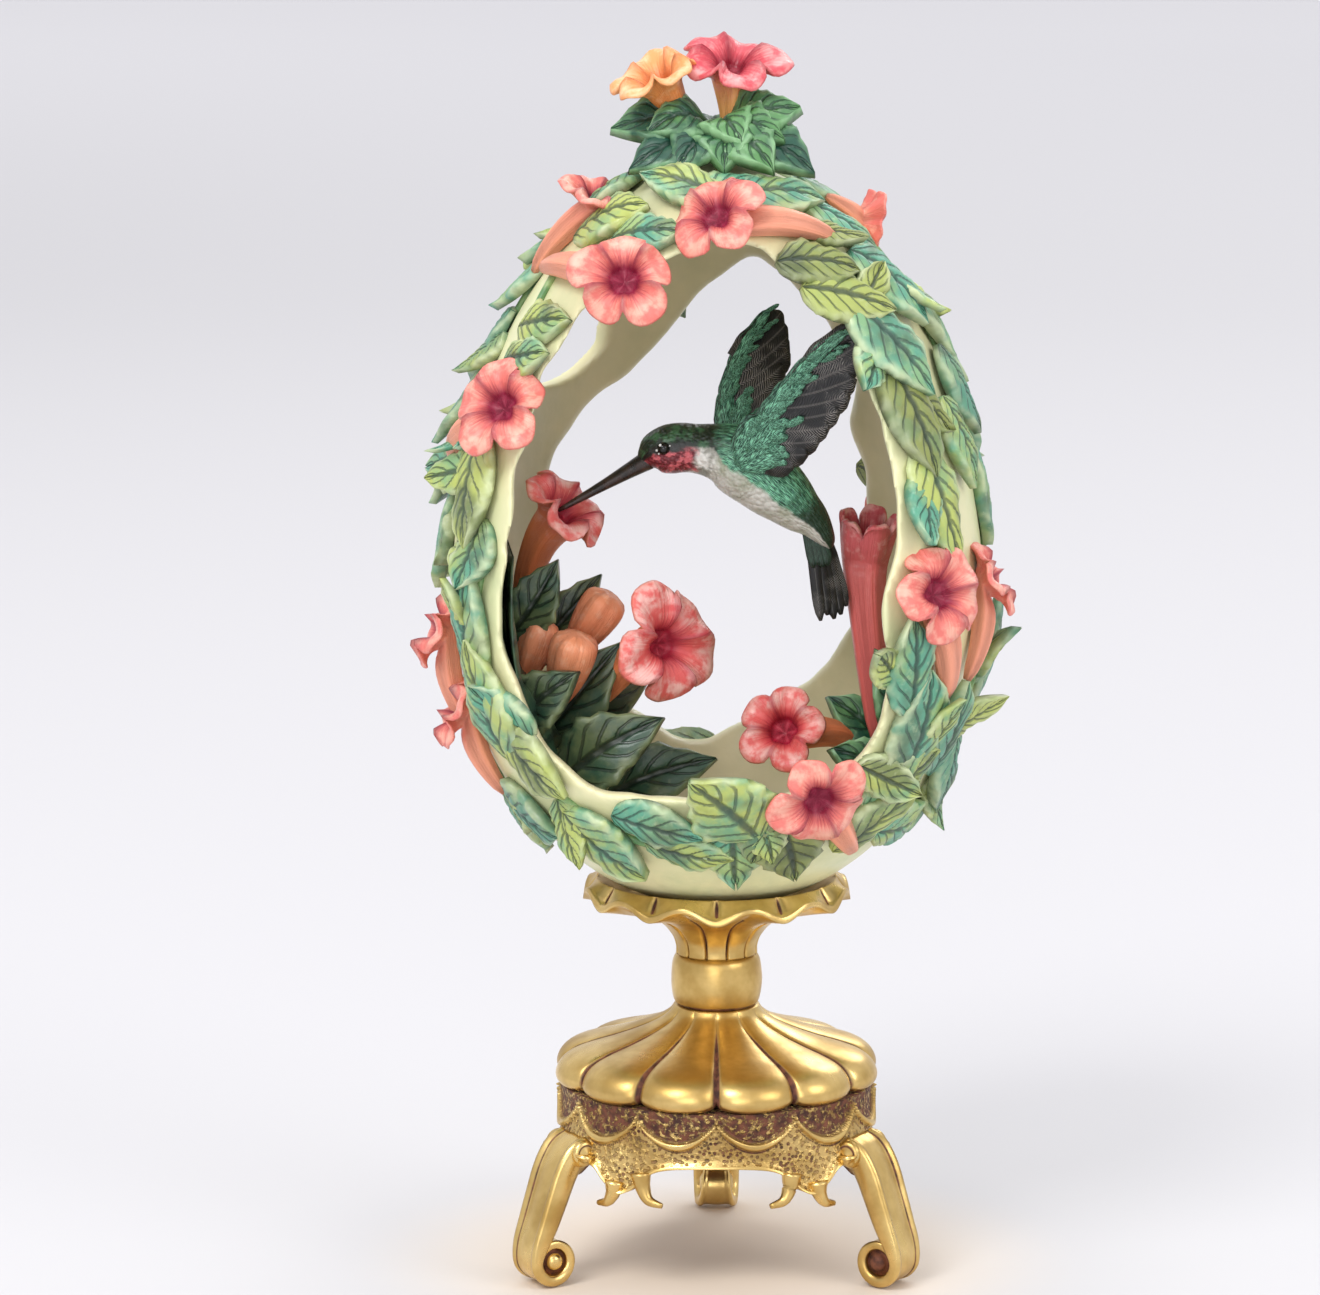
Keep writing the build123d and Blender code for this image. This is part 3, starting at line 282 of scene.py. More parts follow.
class Paint:
    """A material, its nodes added one step at a time."""

    def __init__(self, name, roughness=0.4, metallic=0, coat=0):
        self.material = bpy.data.materials.new(name)
        self.material.use_nodes = True
        self.tree = self.material.node_tree
        self.shader = self.tree.nodes["Principled BSDF"]
        self.shader.inputs["Roughness"].default_value = roughness
        self.shader.inputs["Metallic"].default_value = metallic
        self.shader.inputs["Coat Weight"].default_value = coat
        self.shader.inputs["Coat Roughness"].default_value = COAT_ROUGHNESS

    def node(self, kind, **settings):
        node = self.tree.nodes.new(kind)
        for key, value in settings.items():
            setattr(node, key, value)
        return node

    def put(self, socket, value):
        """Link a socket, or set a constant."""
        if isinstance(value, bpy.types.NodeSocket):
            self.tree.links.new(value, socket)
        else:
            socket.default_value = value

    def math(self, operation, a, b=0.0, c=0.0):
        node = self.node("ShaderNodeMath", operation=operation)
        for socket, value in zip(node.inputs, (a, b, c)):
            self.put(socket, value)
        return node.outputs[0]

    def mix(self, factor, a, b):
        node = self.node("ShaderNodeMix", data_type="RGBA")
        for name, value in (("Factor_Float", factor), ("A_Color", a), ("B_Color", b)):
            self.put(next(s for s in node.inputs if s.identifier == name), value)
        return next(s for s in node.outputs if s.identifier == "Result_Color")

    def times(self, a, b):
        return self.math("MULTIPLY", a, b)

    def plus(self, a, b):
        return self.math("ADD", a, b)

    def minus(self, a, b):
        return self.math("SUBTRACT", a, b)

    def scaled(self, value, factor, shift):
        return self.math("MULTIPLY_ADD", value, factor, shift)

    def fade(self, value, low, high, low_out=0.0, high_out=1.0):
        """A smooth step of a value between two levels."""
        node = self.node("ShaderNodeMapRange", interpolation_type="SMOOTHSTEP")
        for socket, number in zip(node.inputs, (value, low, high, low_out, high_out)):
            self.put(socket, number)
        return node.outputs[0]

    def place(self):
        """Where a point of the piece is, in metres."""
        return self.node("ShaderNodeTexCoord").outputs["Object"]

    def noise(self, scale, detail, vector=None):
        node = self.node("ShaderNodeTexNoise")
        self.put(node.inputs["Vector"], vector or self.place())
        node.inputs["Scale"].default_value = scale
        node.inputs["Detail"].default_value = detail
        node.inputs["Roughness"].default_value = NOISE_ROUGHNESS
        return node.outputs["Fac"]

    def cloud(self, scale, detail, low, high, low_out=0.0, high_out=1.0):
        """Noise, as a smooth step between two of its levels."""
        return self.fade(self.noise(scale, detail), low, high, low_out, high_out)

    def cells(self, scale, vector=None):
        node = self.node("ShaderNodeTexVoronoi")
        self.put(node.inputs["Vector"], vector or self.place())
        node.inputs["Scale"].default_value = scale
        return node.outputs["Distance"]

    def vector(self, x, y, z):
        node = self.node("ShaderNodeCombineXYZ")
        for socket, value in zip(node.inputs, (x, y, z)):
            self.put(socket, value)
        return node.outputs[0]

    def mark(self):
        """The four values of a point's mark."""
        attribute = self.node("ShaderNodeAttribute", attribute_name="mark")
        parts = self.node("ShaderNodeSeparateColor")
        self.put(parts.inputs[0], attribute.outputs["Color"])
        return (*parts.outputs[:3], attribute.outputs["Alpha"])

    def relief(self, height, distance):
        bump = self.node("ShaderNodeBump")
        self.put(bump.inputs["Height"], height)
        bump.inputs["Distance"].default_value = distance
        self.put(self.shader.inputs["Normal"], bump.outputs[0])

    def colour(self, value):
        self.put(self.shader.inputs["Base Color"], value)

    def rough(self, value):
        self.put(self.shader.inputs["Roughness"], value)


LEAF_VEINS = 6
VEIN_SLANT = 0.34


def leaf_paint(name, *colours):
    """Hand painted leaf: mark is along, across (0 to 1), tone (cool to warm) and light."""
    cool, warm, vein_tint, edge_tint, stain_tint = (tint(*colour) for colour in colours)
    paint = Paint(name, coat=0.15)
    along, across, tone, light = paint.mark()
    off = paint.math("ABSOLUTE", paint.scaled(across, 2.0, -1.0))
    slant = paint.times(paint.math("POWER", off, 1.25), VEIN_SLANT)
    phase = paint.times(paint.minus(along, slant), float(LEAF_VEINS))
    wobble = paint.noise(420, 2)
    phase = paint.plus(phase, paint.times(wobble, 0.25))
    line = paint.math("ABSOLUTE", paint.minus(paint.math("FRACT", phase), 0.5))
    side_vein = paint.fade(line, 0.34, 0.46)
    side_vein = paint.times(side_vein, paint.fade(off, 0.95, 0.6))
    mid_vein = paint.fade(off, 0.16, 0.05)
    vein = paint.math("MAXIMUM", paint.times(side_vein, 0.8), mid_vein)
    blotch = paint.cloud(190, 4, 0.36, 0.64)
    warmth = paint.plus(tone, paint.scaled(blotch, 0.5, -0.25))
    ground = paint.mix(paint.fade(warmth, 0.12, 0.88), cool, warm)
    stain = paint.times(paint.cloud(110, 3, 0.52, 0.66), 0.72)
    ground = paint.mix(stain, ground, stain_tint)
    rim = paint.times(paint.fade(off, 0.55, 0.98), paint.cloud(300, 2, 0.3, 0.65))
    ground = paint.mix(paint.times(rim, 0.75), ground, edge_tint)
    dry = paint.cloud(900, 4, 0.55, 0.78)
    ground = paint.mix(paint.times(dry, 0.35), ground, edge_tint)
    painted = paint.mix(paint.times(vein, 0.82), ground, vein_tint)
    paint.colour(paint.mix(light, tuple(0.3 * v for v in vein_tint[:3]) + (1,), painted))
    height = paint.minus(paint.times(paint.noise(700, 4), 0.35), vein)
    paint.relief(height, 0.22 * MM)
    paint.rough(paint.cloud(260, 3, 0.3, 0.7, 0.32, 0.52))
    return paint.material


def flower_paint(name, *colours):
    """Hand painted trumpet: mark is reach (base or throat to rim), inside, lobe and seed."""
    throat, lobe, pale, outside, base = (tint(*colour) for colour in colours)
    paint = Paint(name, 0.42, coat=0.12)
    reach, inside, lobes, seed = paint.mark()
    fine = paint.noise(520, 4)
    comb = paint.vector(paint.times(lobes, 15.0), paint.times(reach, 2.2), paint.times(seed, 40.0))
    streaks = paint.noise(1.0, 3, comb)
    edge = paint.plus(reach, paint.scaled(streaks, 0.5, -0.25))
    inner = paint.mix(paint.fade(edge, 0.34, 0.8), throat, lobe)
    blush = paint.times(paint.fade(edge, 0.62, 1.0), paint.fade(fine, 0.38, 0.62))
    inner = paint.mix(paint.times(blush, 0.85), inner, pale)
    crease = paint.times(paint.fade(lobes, 0.4, 0.0), paint.fade(reach, 0.35, 0.6))
    inner = paint.mix(paint.times(crease, 0.65), inner, throat)
    outer = paint.mix(paint.fade(edge, 0.3, 0.8), base, outside)
    brushed = paint.times(paint.cloud(800, 4, 0.5, 0.72), paint.fade(reach, 0.2, 0.9))
    outer = paint.mix(paint.times(brushed, 0.6), outer, pale)
    paint.colour(paint.mix(inside, outer, inner))
    height = paint.plus(paint.times(streaks, 0.8), paint.times(fine, 0.3))
    paint.relief(height, 0.25 * MM)
    paint.rough(paint.cloud(300, 3, 0.3, 0.7, 0.34, 0.56))
    return paint.material


def shell_paint():
    """Cream painted resin, darker on the inside of the wall as painted shade: mark's first value is how deep in the
    wall.
    """
    paint = Paint("shell_cream", 0.38, coat=0.2)
    depth = paint.mark()[0]
    broad = paint.noise(60, 4)
    fine = paint.noise(420, 3)
    ground = paint.mix(paint.fade(broad, 0.35, 0.65), tint(232, 226, 180), tint(220, 222, 174))
    wash = paint.times(paint.cloud(110, 4, 0.5, 0.75), 0.4)
    ground = paint.mix(wash, ground, tint(178, 196, 146))
    # Painted shade: the inside of the wall takes darker creams than the outside.
    inner = paint.mix(paint.fade(broad, 0.35, 0.65), tint(212, 202, 164), tint(192, 186, 148))
    paint.colour(paint.mix(depth, ground, inner))
    paint.relief(paint.plus(paint.times(broad, 1.6), paint.times(fine, 0.25)), 0.3 * MM)
    paint.rough(paint.fade(fine, 0.3, 0.7, 0.32, 0.48))
    return paint.material


def gilt_paint(name, stipple=False):
    """Antiqued gilt: mark is how deep the patina lies, grain, nothing and stippled ground."""
    paint = Paint(name, 0.28, metallic=1)
    hollow, grained, _, stippled = paint.mark()
    cloud = paint.noise(140, 4)
    fine = paint.noise(900, 3)
    gold = paint.mix(paint.fade(cloud, 0.3, 0.7), tint(234, 203, 134), tint(190, 156, 90))
    brown = paint.mix(paint.fade(fine, 0.3, 0.7), tint(58, 28, 20), tint(118, 68, 46))
    grime = paint.plus(hollow, paint.scaled(cloud, 0.5, -0.25))
    if stipple:
        pits = paint.fade(paint.cells(1800), 0.52, 0.3)
        dots = paint.times(pits, paint.cloud(300, 3, 0.34, 0.6, 1.0, 0.5))
        grain = paint.times(paint.cloud(1500, 3, 0.36, 0.52), grained)
        covered = paint.times(paint.math("MAXIMUM", dots, grain), stippled)
        grime = paint.math("MAXIMUM", paint.fade(grime, 0.4, 0.7), covered)
        height = paint.times(paint.math("MAXIMUM", pits, grain), paint.times(stippled, -1.0))
        paint.relief(paint.plus(height, paint.times(fine, 0.1)), 0.3 * MM)
    else:
        grime = paint.fade(grime, 0.42, 0.72)
        paint.relief(paint.plus(paint.times(cloud, 0.8), paint.times(fine, 0.12)), 0.12 * MM)
    paint.colour(paint.mix(grime, gold, brown))
    paint.put(paint.shader.inputs["Metallic"], paint.fade(grime, 0.0, 1.0, 1.0, 0.15))
    rubbed = paint.fade(cloud, 0.25, 0.75, 0.24, 0.4)
    paint.rough(paint.plus(rubbed, paint.times(grime, 0.35)))
    return paint.material


def bird_paint():
    """Pearly body: mark is along, how high round the body, and side."""
    paint = Paint("bird_body_paint", 0.36, coat=0.35)
    along, upness, side, _ = paint.mark()
    scale = paint.cells(1.0, paint.vector(paint.times(along, 44.0), paint.times(upness, 15.0), side))
    ragged = paint.scaled(paint.noise(420, 4), 0.24, -0.12)
    here = paint.plus(along, ragged)
    height = paint.plus(upness, ragged)
    crown = paint.mix(paint.cloud(620, 3, 0.46, 0.64), tint(12, 34, 20), tint(52, 96, 62))
    comb = paint.vector(paint.times(along, 9.0), paint.times(upness, 38.0), side)
    comb = paint.noise(3.0, 3, comb)
    pearl = paint.mix(paint.fade(comb, 0.42, 0.62), tint(14, 78, 62), tint(136, 216, 174))
    back = paint.mix(paint.fade(here, 0.34, 0.46), crown, pearl)
    back = paint.mix(paint.fade(here, 0.72, 0.9), back, tint(22, 52, 34))
    ruby = paint.mix(paint.cloud(900, 3, 0.46, 0.6), tint(108, 14, 32), tint(206, 96, 104))
    belly = paint.mix(paint.cloud(260, 4, 0.4, 0.66), tint(204, 202, 194), tint(160, 164, 142))
    patch = paint.mix(paint.cloud(600, 3, 0.4, 0.6), tint(230, 228, 222), tint(150, 150, 140))
    under = paint.mix(paint.fade(here, 0.26, 0.32), ruby, patch)
    under = paint.mix(paint.fade(here, 0.36, 0.44), under, belly)
    line = paint.fade(here, 0.3, 0.5, 0.6, 0.4)
    over = paint.fade(paint.minus(height, line), -0.04, 0.04)
    painted = paint.mix(over, under, back)
    mask = paint.times(paint.fade(paint.math("ABSOLUTE", paint.minus(height, 0.6)), 0.12, 0.05),
                      paint.fade(here, 0.3, 0.22))
    paint.colour(paint.mix(mask, painted, tint(20, 22, 22)))
    height = paint.plus(paint.times(scale, -1.0), paint.times(paint.noise(900, 2), 0.3))
    paint.relief(height, 0.25 * MM)
    paint.rough(paint.fade(scale, 0.1, 0.6, 0.28, 0.5))
    return paint.material


def feather_paint():
    """Feathers: mark is along, across, green (covert) and light."""
    paint = Paint("feather_paint", 0.4, coat=0.2)
    along, across, green, light = paint.mark()
    off = paint.math("ABSOLUTE", paint.scaled(across, 2.0, -1.0))
    phase = paint.plus(paint.times(along, 24.0), paint.times(off, -5.0))
    phase = paint.plus(phase, paint.times(paint.noise(500, 3), 3.4))
    barb = paint.fade(paint.math("ABSOLUTE", paint.minus(paint.math("FRACT", phase), 0.5)), 0.3, 0.48)
    patchy = paint.cloud(170, 4, 0.44, 0.58)
    silver = paint.times(paint.times(barb, patchy), 0.85)
    shaft = paint.times(paint.fade(off, 0.1, 0.02), 0.14)
    dark = paint.mix(paint.math("MAXIMUM", silver, shaft), tint(24, 25, 28), tint(196, 190, 184))
    comb = paint.vector(paint.times(along, 5.0), paint.times(across, 16.0), paint.noise(300, 2))
    stroke = paint.fade(paint.noise(1.6, 3, comb), 0.44, 0.62)
    sheen = paint.mix(stroke, tint(12, 66, 50), tint(152, 230, 192))
    sheen = paint.mix(paint.fade(light, 0.9, 0.4), sheen, tint(16, 34, 24))
    paint.colour(paint.mix(green, dark, sheen))
    paint.relief(paint.minus(paint.times(barb, -0.6), shaft), 0.12 * MM)
    paint.rough(paint.cloud(300, 3, 0.3, 0.7, 0.3, 0.5))
    return paint.material


def plain_paint(name, first, second, roughness, metallic=0):
    """A mottled paint for small pieces."""
    paint = Paint(name, roughness, metallic)
    cloud = paint.noise(400, 4)
    paint.colour(paint.mix(paint.fade(cloud, 0.35, 0.65), tint(*first), tint(*second)))
    paint.relief(cloud, 0.1 * MM)
    paint.rough(paint.cloud(680, 3, 0.3, 0.7, roughness * 0.8, roughness * 1.2))
    return paint.material


# Leaf colours: cool and warm ground, veins, edge, stains
leaf_look = leaf_paint("relief_leaf_paint", (88, 156, 128), (178, 190, 100), (44, 64, 56), (206, 216, 172),
                       (84, 100, 68))
dark_leaf_look = leaf_paint("dark_leaf_paint", (26, 76, 58), (86, 136, 80), (18, 50, 38), (146, 192, 140),
                            (22, 74, 58))
deep_leaf_look = leaf_paint("deep_leaf_paint", (44, 76, 56), (94, 104, 66), (22, 32, 26), (128, 138, 98),
                            (26, 54, 44))
# Flower colours: throat, petal, pale brushing, outside, base
coral_look = flower_paint("coral_flower_paint", (146, 22, 58), (228, 118, 108), (244, 186, 164), (228, 116, 106),
                          (238, 156, 126))
red_look = flower_paint("red_flower_paint", (150, 14, 44), (208, 72, 84), (240, 170, 166), (216, 88, 92),
                        (240, 172, 96))
rose_look = flower_paint("rose_flower_paint", (140, 30, 48), (204, 84, 92), (240, 182, 176), (212, 98, 102),
                         (204, 96, 92))
orange_look = flower_paint("orange_flower_paint", (222, 122, 66), (240, 160, 96), (250, 206, 160), (234, 150, 84),
                           (208, 120, 52))
terracotta_look = flower_paint("terracotta_flower_paint", (172, 30, 56), (226, 98, 96), (244, 198, 190),
                               (218, 118, 96), (220, 126, 80))
bud_look = flower_paint("bud_paint", (226, 120, 76), (240, 148, 104), (248, 190, 156), (240, 152, 110),
                        (228, 126, 82))
shell_look = shell_paint()
gilt_look = gilt_paint("gilt")
gilt_stipple_look = gilt_paint("gilt_stipple", stipple=True)
steel_look = plain_paint("screw_steel", (160, 160, 158), (120, 120, 118), 0.35, metallic=1)
stem_look = plain_paint("stem_paint", (96, 142, 92), (150, 180, 120), 0.45)
bird_look = bird_paint()
feather_look = feather_paint()
beak_look = plain_paint("beak_paint", (26, 22, 20), (62, 44, 38), 0.3)
eye_look = plain_paint("eye_paint", (8, 8, 9), (16, 15, 15), 0.08)
glint_look = plain_paint("glint_paint", (236, 236, 236), (210, 210, 206), 0.3)


# Leaves

LEAF_ROWS = 24
LEAF_COLUMNS = 16


def leaf_outline(along):
    """Half width of a leaf at a share of its length."""
    return max(0.03, math.sin(math.pi * min(along, 1) ** 0.82) ** (0.56 + 0.34 * along))


def add_leaf(sheet, place, thickness, tone, light, seed, lift=0.0, sink=0.35 * MM):
    """A veined leaf. place gives a point for (along share, side share, height)."""
    shake = random.Random(seed)
    bend = shake.uniform(-0.13, 0.13)
    curl = shake.uniform(0.1, 0.75)
    wave = shake.uniform(0, 6)
    lift *= shake.uniform(0.2, 1.9)
    rows = []
    for r in range(LEAF_ROWS + 1):
        along = r / LEAF_ROWS
        outline = leaf_outline(along)
        notched = math.cos(2 * math.pi * LEAF_VEINS * (along - VEIN_SLANT))
        middle_line = bend * math.sin(math.pi * along) * 1.2
        raised = lift * along**2.2
        body = thickness * (0.22 + 0.78 * math.sin(math.pi * min(1, 0.04 + 0.94 * along)) ** 0.6)
        low_half = outline * 0.93
        row = [(place(along, middle_line - low_half, raised - sink), (along, 0.0, tone, light * 0.6))]
        for c in range(LEAF_COLUMNS + 1):
            side = -1 + 2 * c / LEAF_COLUMNS
            off = abs(side)
            uneven = 0.06 * math.sin(along * 9 + wave + (2.1 if side > 0 else 0))
            half = outline * (1 + 0.085 * notched * off + uneven * off)
            phase = (along - VEIN_SLANT * off**1.25) * LEAF_VEINS
            groove = math.exp(-((phase - round(phase)) / 0.14) ** 2) * (1 - off**3)
            middle = math.exp(-(off / 0.1) ** 2)
            dome = 0.32 + 0.68 * math.sqrt(max(0, 1 - off**2.2))
            height = body * (dome - 0.24 * groove - 0.3 * middle)
            height += raised + thickness * off**3 * (curl * along + 0.28 * math.sin(along * 11 + wave))
            row.append((place(along, side * half + middle_line, height), (along, 0.5 + side / 2, tone, light)))
        row.append((place(along, middle_line + low_half, raised - sink), (along, 1.0, tone, light * 0.6)))
        rows.append(row)
    sheet.rows(rows)


def add_relief_leaf(sheet, azimuth, share, heading, length, width, tone, light, seed, proud, lift):
    centre = on_egg(azimuth, share)
    right = polar(1, azimuth + 90, 0)
    up = skin_normal(azimuth, share).cross(right)
    turn = math.radians(heading)
    along_way = up * math.cos(turn) + right * math.sin(turn)
    across_way = right * math.cos(turn) - up * math.sin(turn)

    def place(along, side, height):
        offset = along_way * (length * (along - 0.5)) + across_way * (width / 2 * side)
        return settled(centre + offset, proud + height)

    add_leaf(sheet, place, LEAF_THICKNESS, tone, light, seed, lift)


def add_free_leaf(sheet, root, tip, width, thickness, face, tone, light, seed, arch, fold=0.25):
    along_way = tip - root
    across_way = along_way.cross(face).normalized()
    ridge = across_way.cross(along_way).normalized()

    def place(along, side, height):
        raised = height + arch * math.sin(math.pi * along) + fold * width / 2 * abs(side) ** 1.3
        return root + along_way * along + across_way * (width / 2 * side) + ridge * raised

    add_leaf(sheet, place, thickness, tone, light, seed, sink=thickness * 0.4)


# Each leaf: azimuth, height share, heading of its tip from straight up, length and width as
# shares of the egg's radius, tone (0 teal to 1 lime) and light
RELIEF_LEAVES = {
    "left_rib_leaves": (
        (-58, 0.8, 78, 0.3, 0.17, 0.7, 1), (-57, 0.755, 80, 0.3, 0.15, 0.6, 1),
        (-65, 0.58, 172, 0.4, 0.26, 0.85, 1), (-62, 0.5, 195, 0.26, 0.22, 0.35, 1),
        (-62, 0.4, 3, 0.44, 0.22, 0.3, 1), (-59, 0.31, -12, 0.44, 0.26, 0.5, 1),
        (-50, 0.235, 128, 0.38, 0.22, 0.9, 1), (-70, 0.66, 190, 0.2, 0.14, 0.2, 1),
    ),
    "left_side_leaves": (
        (-98, 0.83, 190, 0.3, 0.2, 0.2, 1), (-97, 0.745, 200, 0.32, 0.22, 0.1, 0.8),
        (-99, 0.66, 175, 0.3, 0.22, 0.1, 0.9), (-92, 0.59, 250, 0.28, 0.2, 0.4, 1),
        (-96, 0.49, 180, 0.36, 0.24, 0.3, 1), (-112, 0.58, 160, 0.36, 0.24, 0.2, 1),
        (-118, 0.45, 185, 0.4, 0.26, 0.5, 1), (-116, 0.33, 170, 0.38, 0.24, 0.3, 1),
        (-126, 0.62, 220, 0.3, 0.2, 0.6, 1), (-98, 0.19, 200, 0.28, 0.2, 0.4, 1),
        (-120, 0.22, 190, 0.36, 0.24, 0.3, 1), (-110, 0.88, 160, 0.3, 0.18, 0.2, 1),
    ),
    "base_leaves": (
        (-64, 0.15, 110, 0.36, 0.22, 0.2, 0.8), (-82, 0.125, 190, 0.28, 0.2, 0.3, 1),
        (-34, 0.13, 140, 0.36, 0.24, 0.5, 1), (-16, 0.165, 98, 0.32, 0.18, 0.1, 1),
        (-8, 0.13, 100, 0.3, 0.16, 0.5, 1), (2, 0.195, -40, 0.36, 0.28, 0.6, 1),
        (5, 0.125, 175, 0.24, 0.2, 0.3, 1), (20, 0.135, 160, 0.28, 0.22, 0.9, 0.55),
        (46, 0.165, 38, 0.38, 0.18, 0.8, 1), (66, 0.14, 80, 0.32, 0.2, 0.4, 1),
        (88, 0.14, 120, 0.3, 0.2, 0.3, 1), (-108, 0.13, 170, 0.3, 0.22, 0.4, 1),
    ),
    "right_rib_leaves": (
        (50, 0.21, 48, 0.34, 0.22, 0.6, 1), (49, 0.285, 2, 0.42, 0.26, 0.3, 1),
        (43.5, 0.37, -8, 0.36, 0.2, 0.2, 1), (55, 0.575, 172, 0.44, 0.24, 0.75, 1),
        (51, 0.685, 168, 0.44, 0.24, 0.8, 0.55), (50, 0.77, 152, 0.42, 0.24, 0.15, 1),
        (42, 0.835, 115, 0.34, 0.2, 0.95, 0.8), (36, 0.875, 105, 0.3, 0.17, 0.9, 0.55),
        (64, 0.84, 150, 0.38, 0.22, 0.15, 1), (64, 0.91, 155, 0.36, 0.16, 0.2, 1),
    ),
    "right_side_leaves": (
        (66, 0.265, 5, 0.36, 0.22, 0.15, 1), (76, 0.2, 165, 0.3, 0.2, 0.1, 0.8),
        (92, 0.35, 0, 0.4, 0.24, 0.2, 0.8), (88, 0.56, 180, 0.38, 0.2, 0.2, 1),
        (69, 0.64, 170, 0.34, 0.18, 0.5, 1), (80, 0.7, 172, 0.34, 0.2, 0.1, 0.8),
        (97, 0.66, 180, 0.34, 0.22, 0.3, 1), (86, 0.79, 165, 0.34, 0.2, 0.25, 1),
        (104, 0.75, 190, 0.36, 0.24, 0.3, 1), (106, 0.25, 20, 0.38, 0.24, 0.4, 1),
        (108, 0.6, 175, 0.34, 0.22, 0.4, 1), (112, 0.16, 120, 0.3, 0.22, 0.3, 1),
    ),
    "top_leaves": (
        (4, 0.965, 70, 0.26, 0.17, 0.3, 1), (38, 0.955, 105, 0.32, 0.18, 0.3, 0.8),
        (-22, 0.962, -80, 0.28, 0.17, 0.5, 1), (-56, 0.925, 62, 0.34, 0.2, 0.7, 1),
        (-30, 0.912, 80, 0.26, 0.17, 0.3, 1), (-84, 0.95, 150, 0.26, 0.17, 0.3, 1),
        (110, 0.94, 160, 0.3, 0.2, 0.3, 1), (150, 0.95, 100, 0.3, 0.2, 0.4, 1),
        (-160, 0.94, 190, 0.32, 0.2, 0.3, 1), (-120, 0.95, 200, 0.28, 0.18, 0.5, 1),
    ),
    "back_leaves": (
        (-176, 0.87, 120, 0.34, 0.2, 0.4, 1), (-164, 0.8, 215, 0.34, 0.16, 0.3, 1),
        (-156, 0.745, 215, 0.3, 0.14, 0.6, 1), (-132, 0.54, 180, 0.3, 0.18, 0.3, 1),
        (-134, 0.38, 175, 0.3, 0.18, 0.5, 1), (-142, 0.24, 200, 0.34, 0.22, 0.3, 1),
        (-168, 0.15, 100, 0.34, 0.22, 0.6, 1), (168, 0.14, 80, 0.34, 0.22, 0.3, 1),
        (148, 0.2, 60, 0.36, 0.22, 0.4, 1), (132, 0.3, 10, 0.4, 0.24, 0.3, 1),
        (134, 0.42, 5, 0.36, 0.2, 0.6, 1), (133, 0.56, 175, 0.4, 0.22, 0.3, 1),
        (133, 0.68, 170, 0.36, 0.22, 0.5, 1), (136, 0.79, 160, 0.36, 0.22, 0.3, 1),
        (118, 0.68, 180, 0.34, 0.22, 0.3, 1), (120, 0.8, 150, 0.36, 0.22, 0.5, 1),
        (130, 0.15, 120, 0.32, 0.22, 0.3, 1), (120, 0.36, 0, 0.3, 0.2, 0.4, 1),
    ),
}


def build_relief_leaves():
    for name, leaves in RELIEF_LEAVES.items():
        sheet = Sheet()
        lift = (2.8 if name == "left_side_leaves" else 1.0) * MM
        for index, (azimuth, share, heading, length, width, tone, light) in enumerate(leaves):
            seed = index * 7 + len(name)
            length *= EGG_RADIUS
            width *= EGG_RADIUS
            add_relief_leaf(sheet, azimuth, share, heading, length * 1.08, width * 1.12, tone, light, seed,
                            0.3 * MM * (1 + index % 3), lift)
            # A smaller second leaf beside about half of them
            shake = random.Random(seed + 500)
            if shake.random() < 0.42 or name == "top_leaves":
                continue
            turn = shake.choice((-1, 1)) * shake.uniform(5, 8) / max(0.35, egg_radius_share(share))
            share = max(0.15, share + shake.uniform(-0.03, 0.03))
            heading += shake.uniform(-75, 75)
            add_relief_leaf(sheet, azimuth + turn, share, heading, length * 0.68, width * 0.74, shake.random(), light,
                            seed + 900, 0.05 * MM, 2.7 * MM)
        piece(name + "_veined", sheet, leaf_look, "egg", [name])


# Flowers

TURNS = 60
TUBE_STEPS = 9
FLARE_STEPS = 9
PETALS = 5
NOTCH_SHARE = 0.24


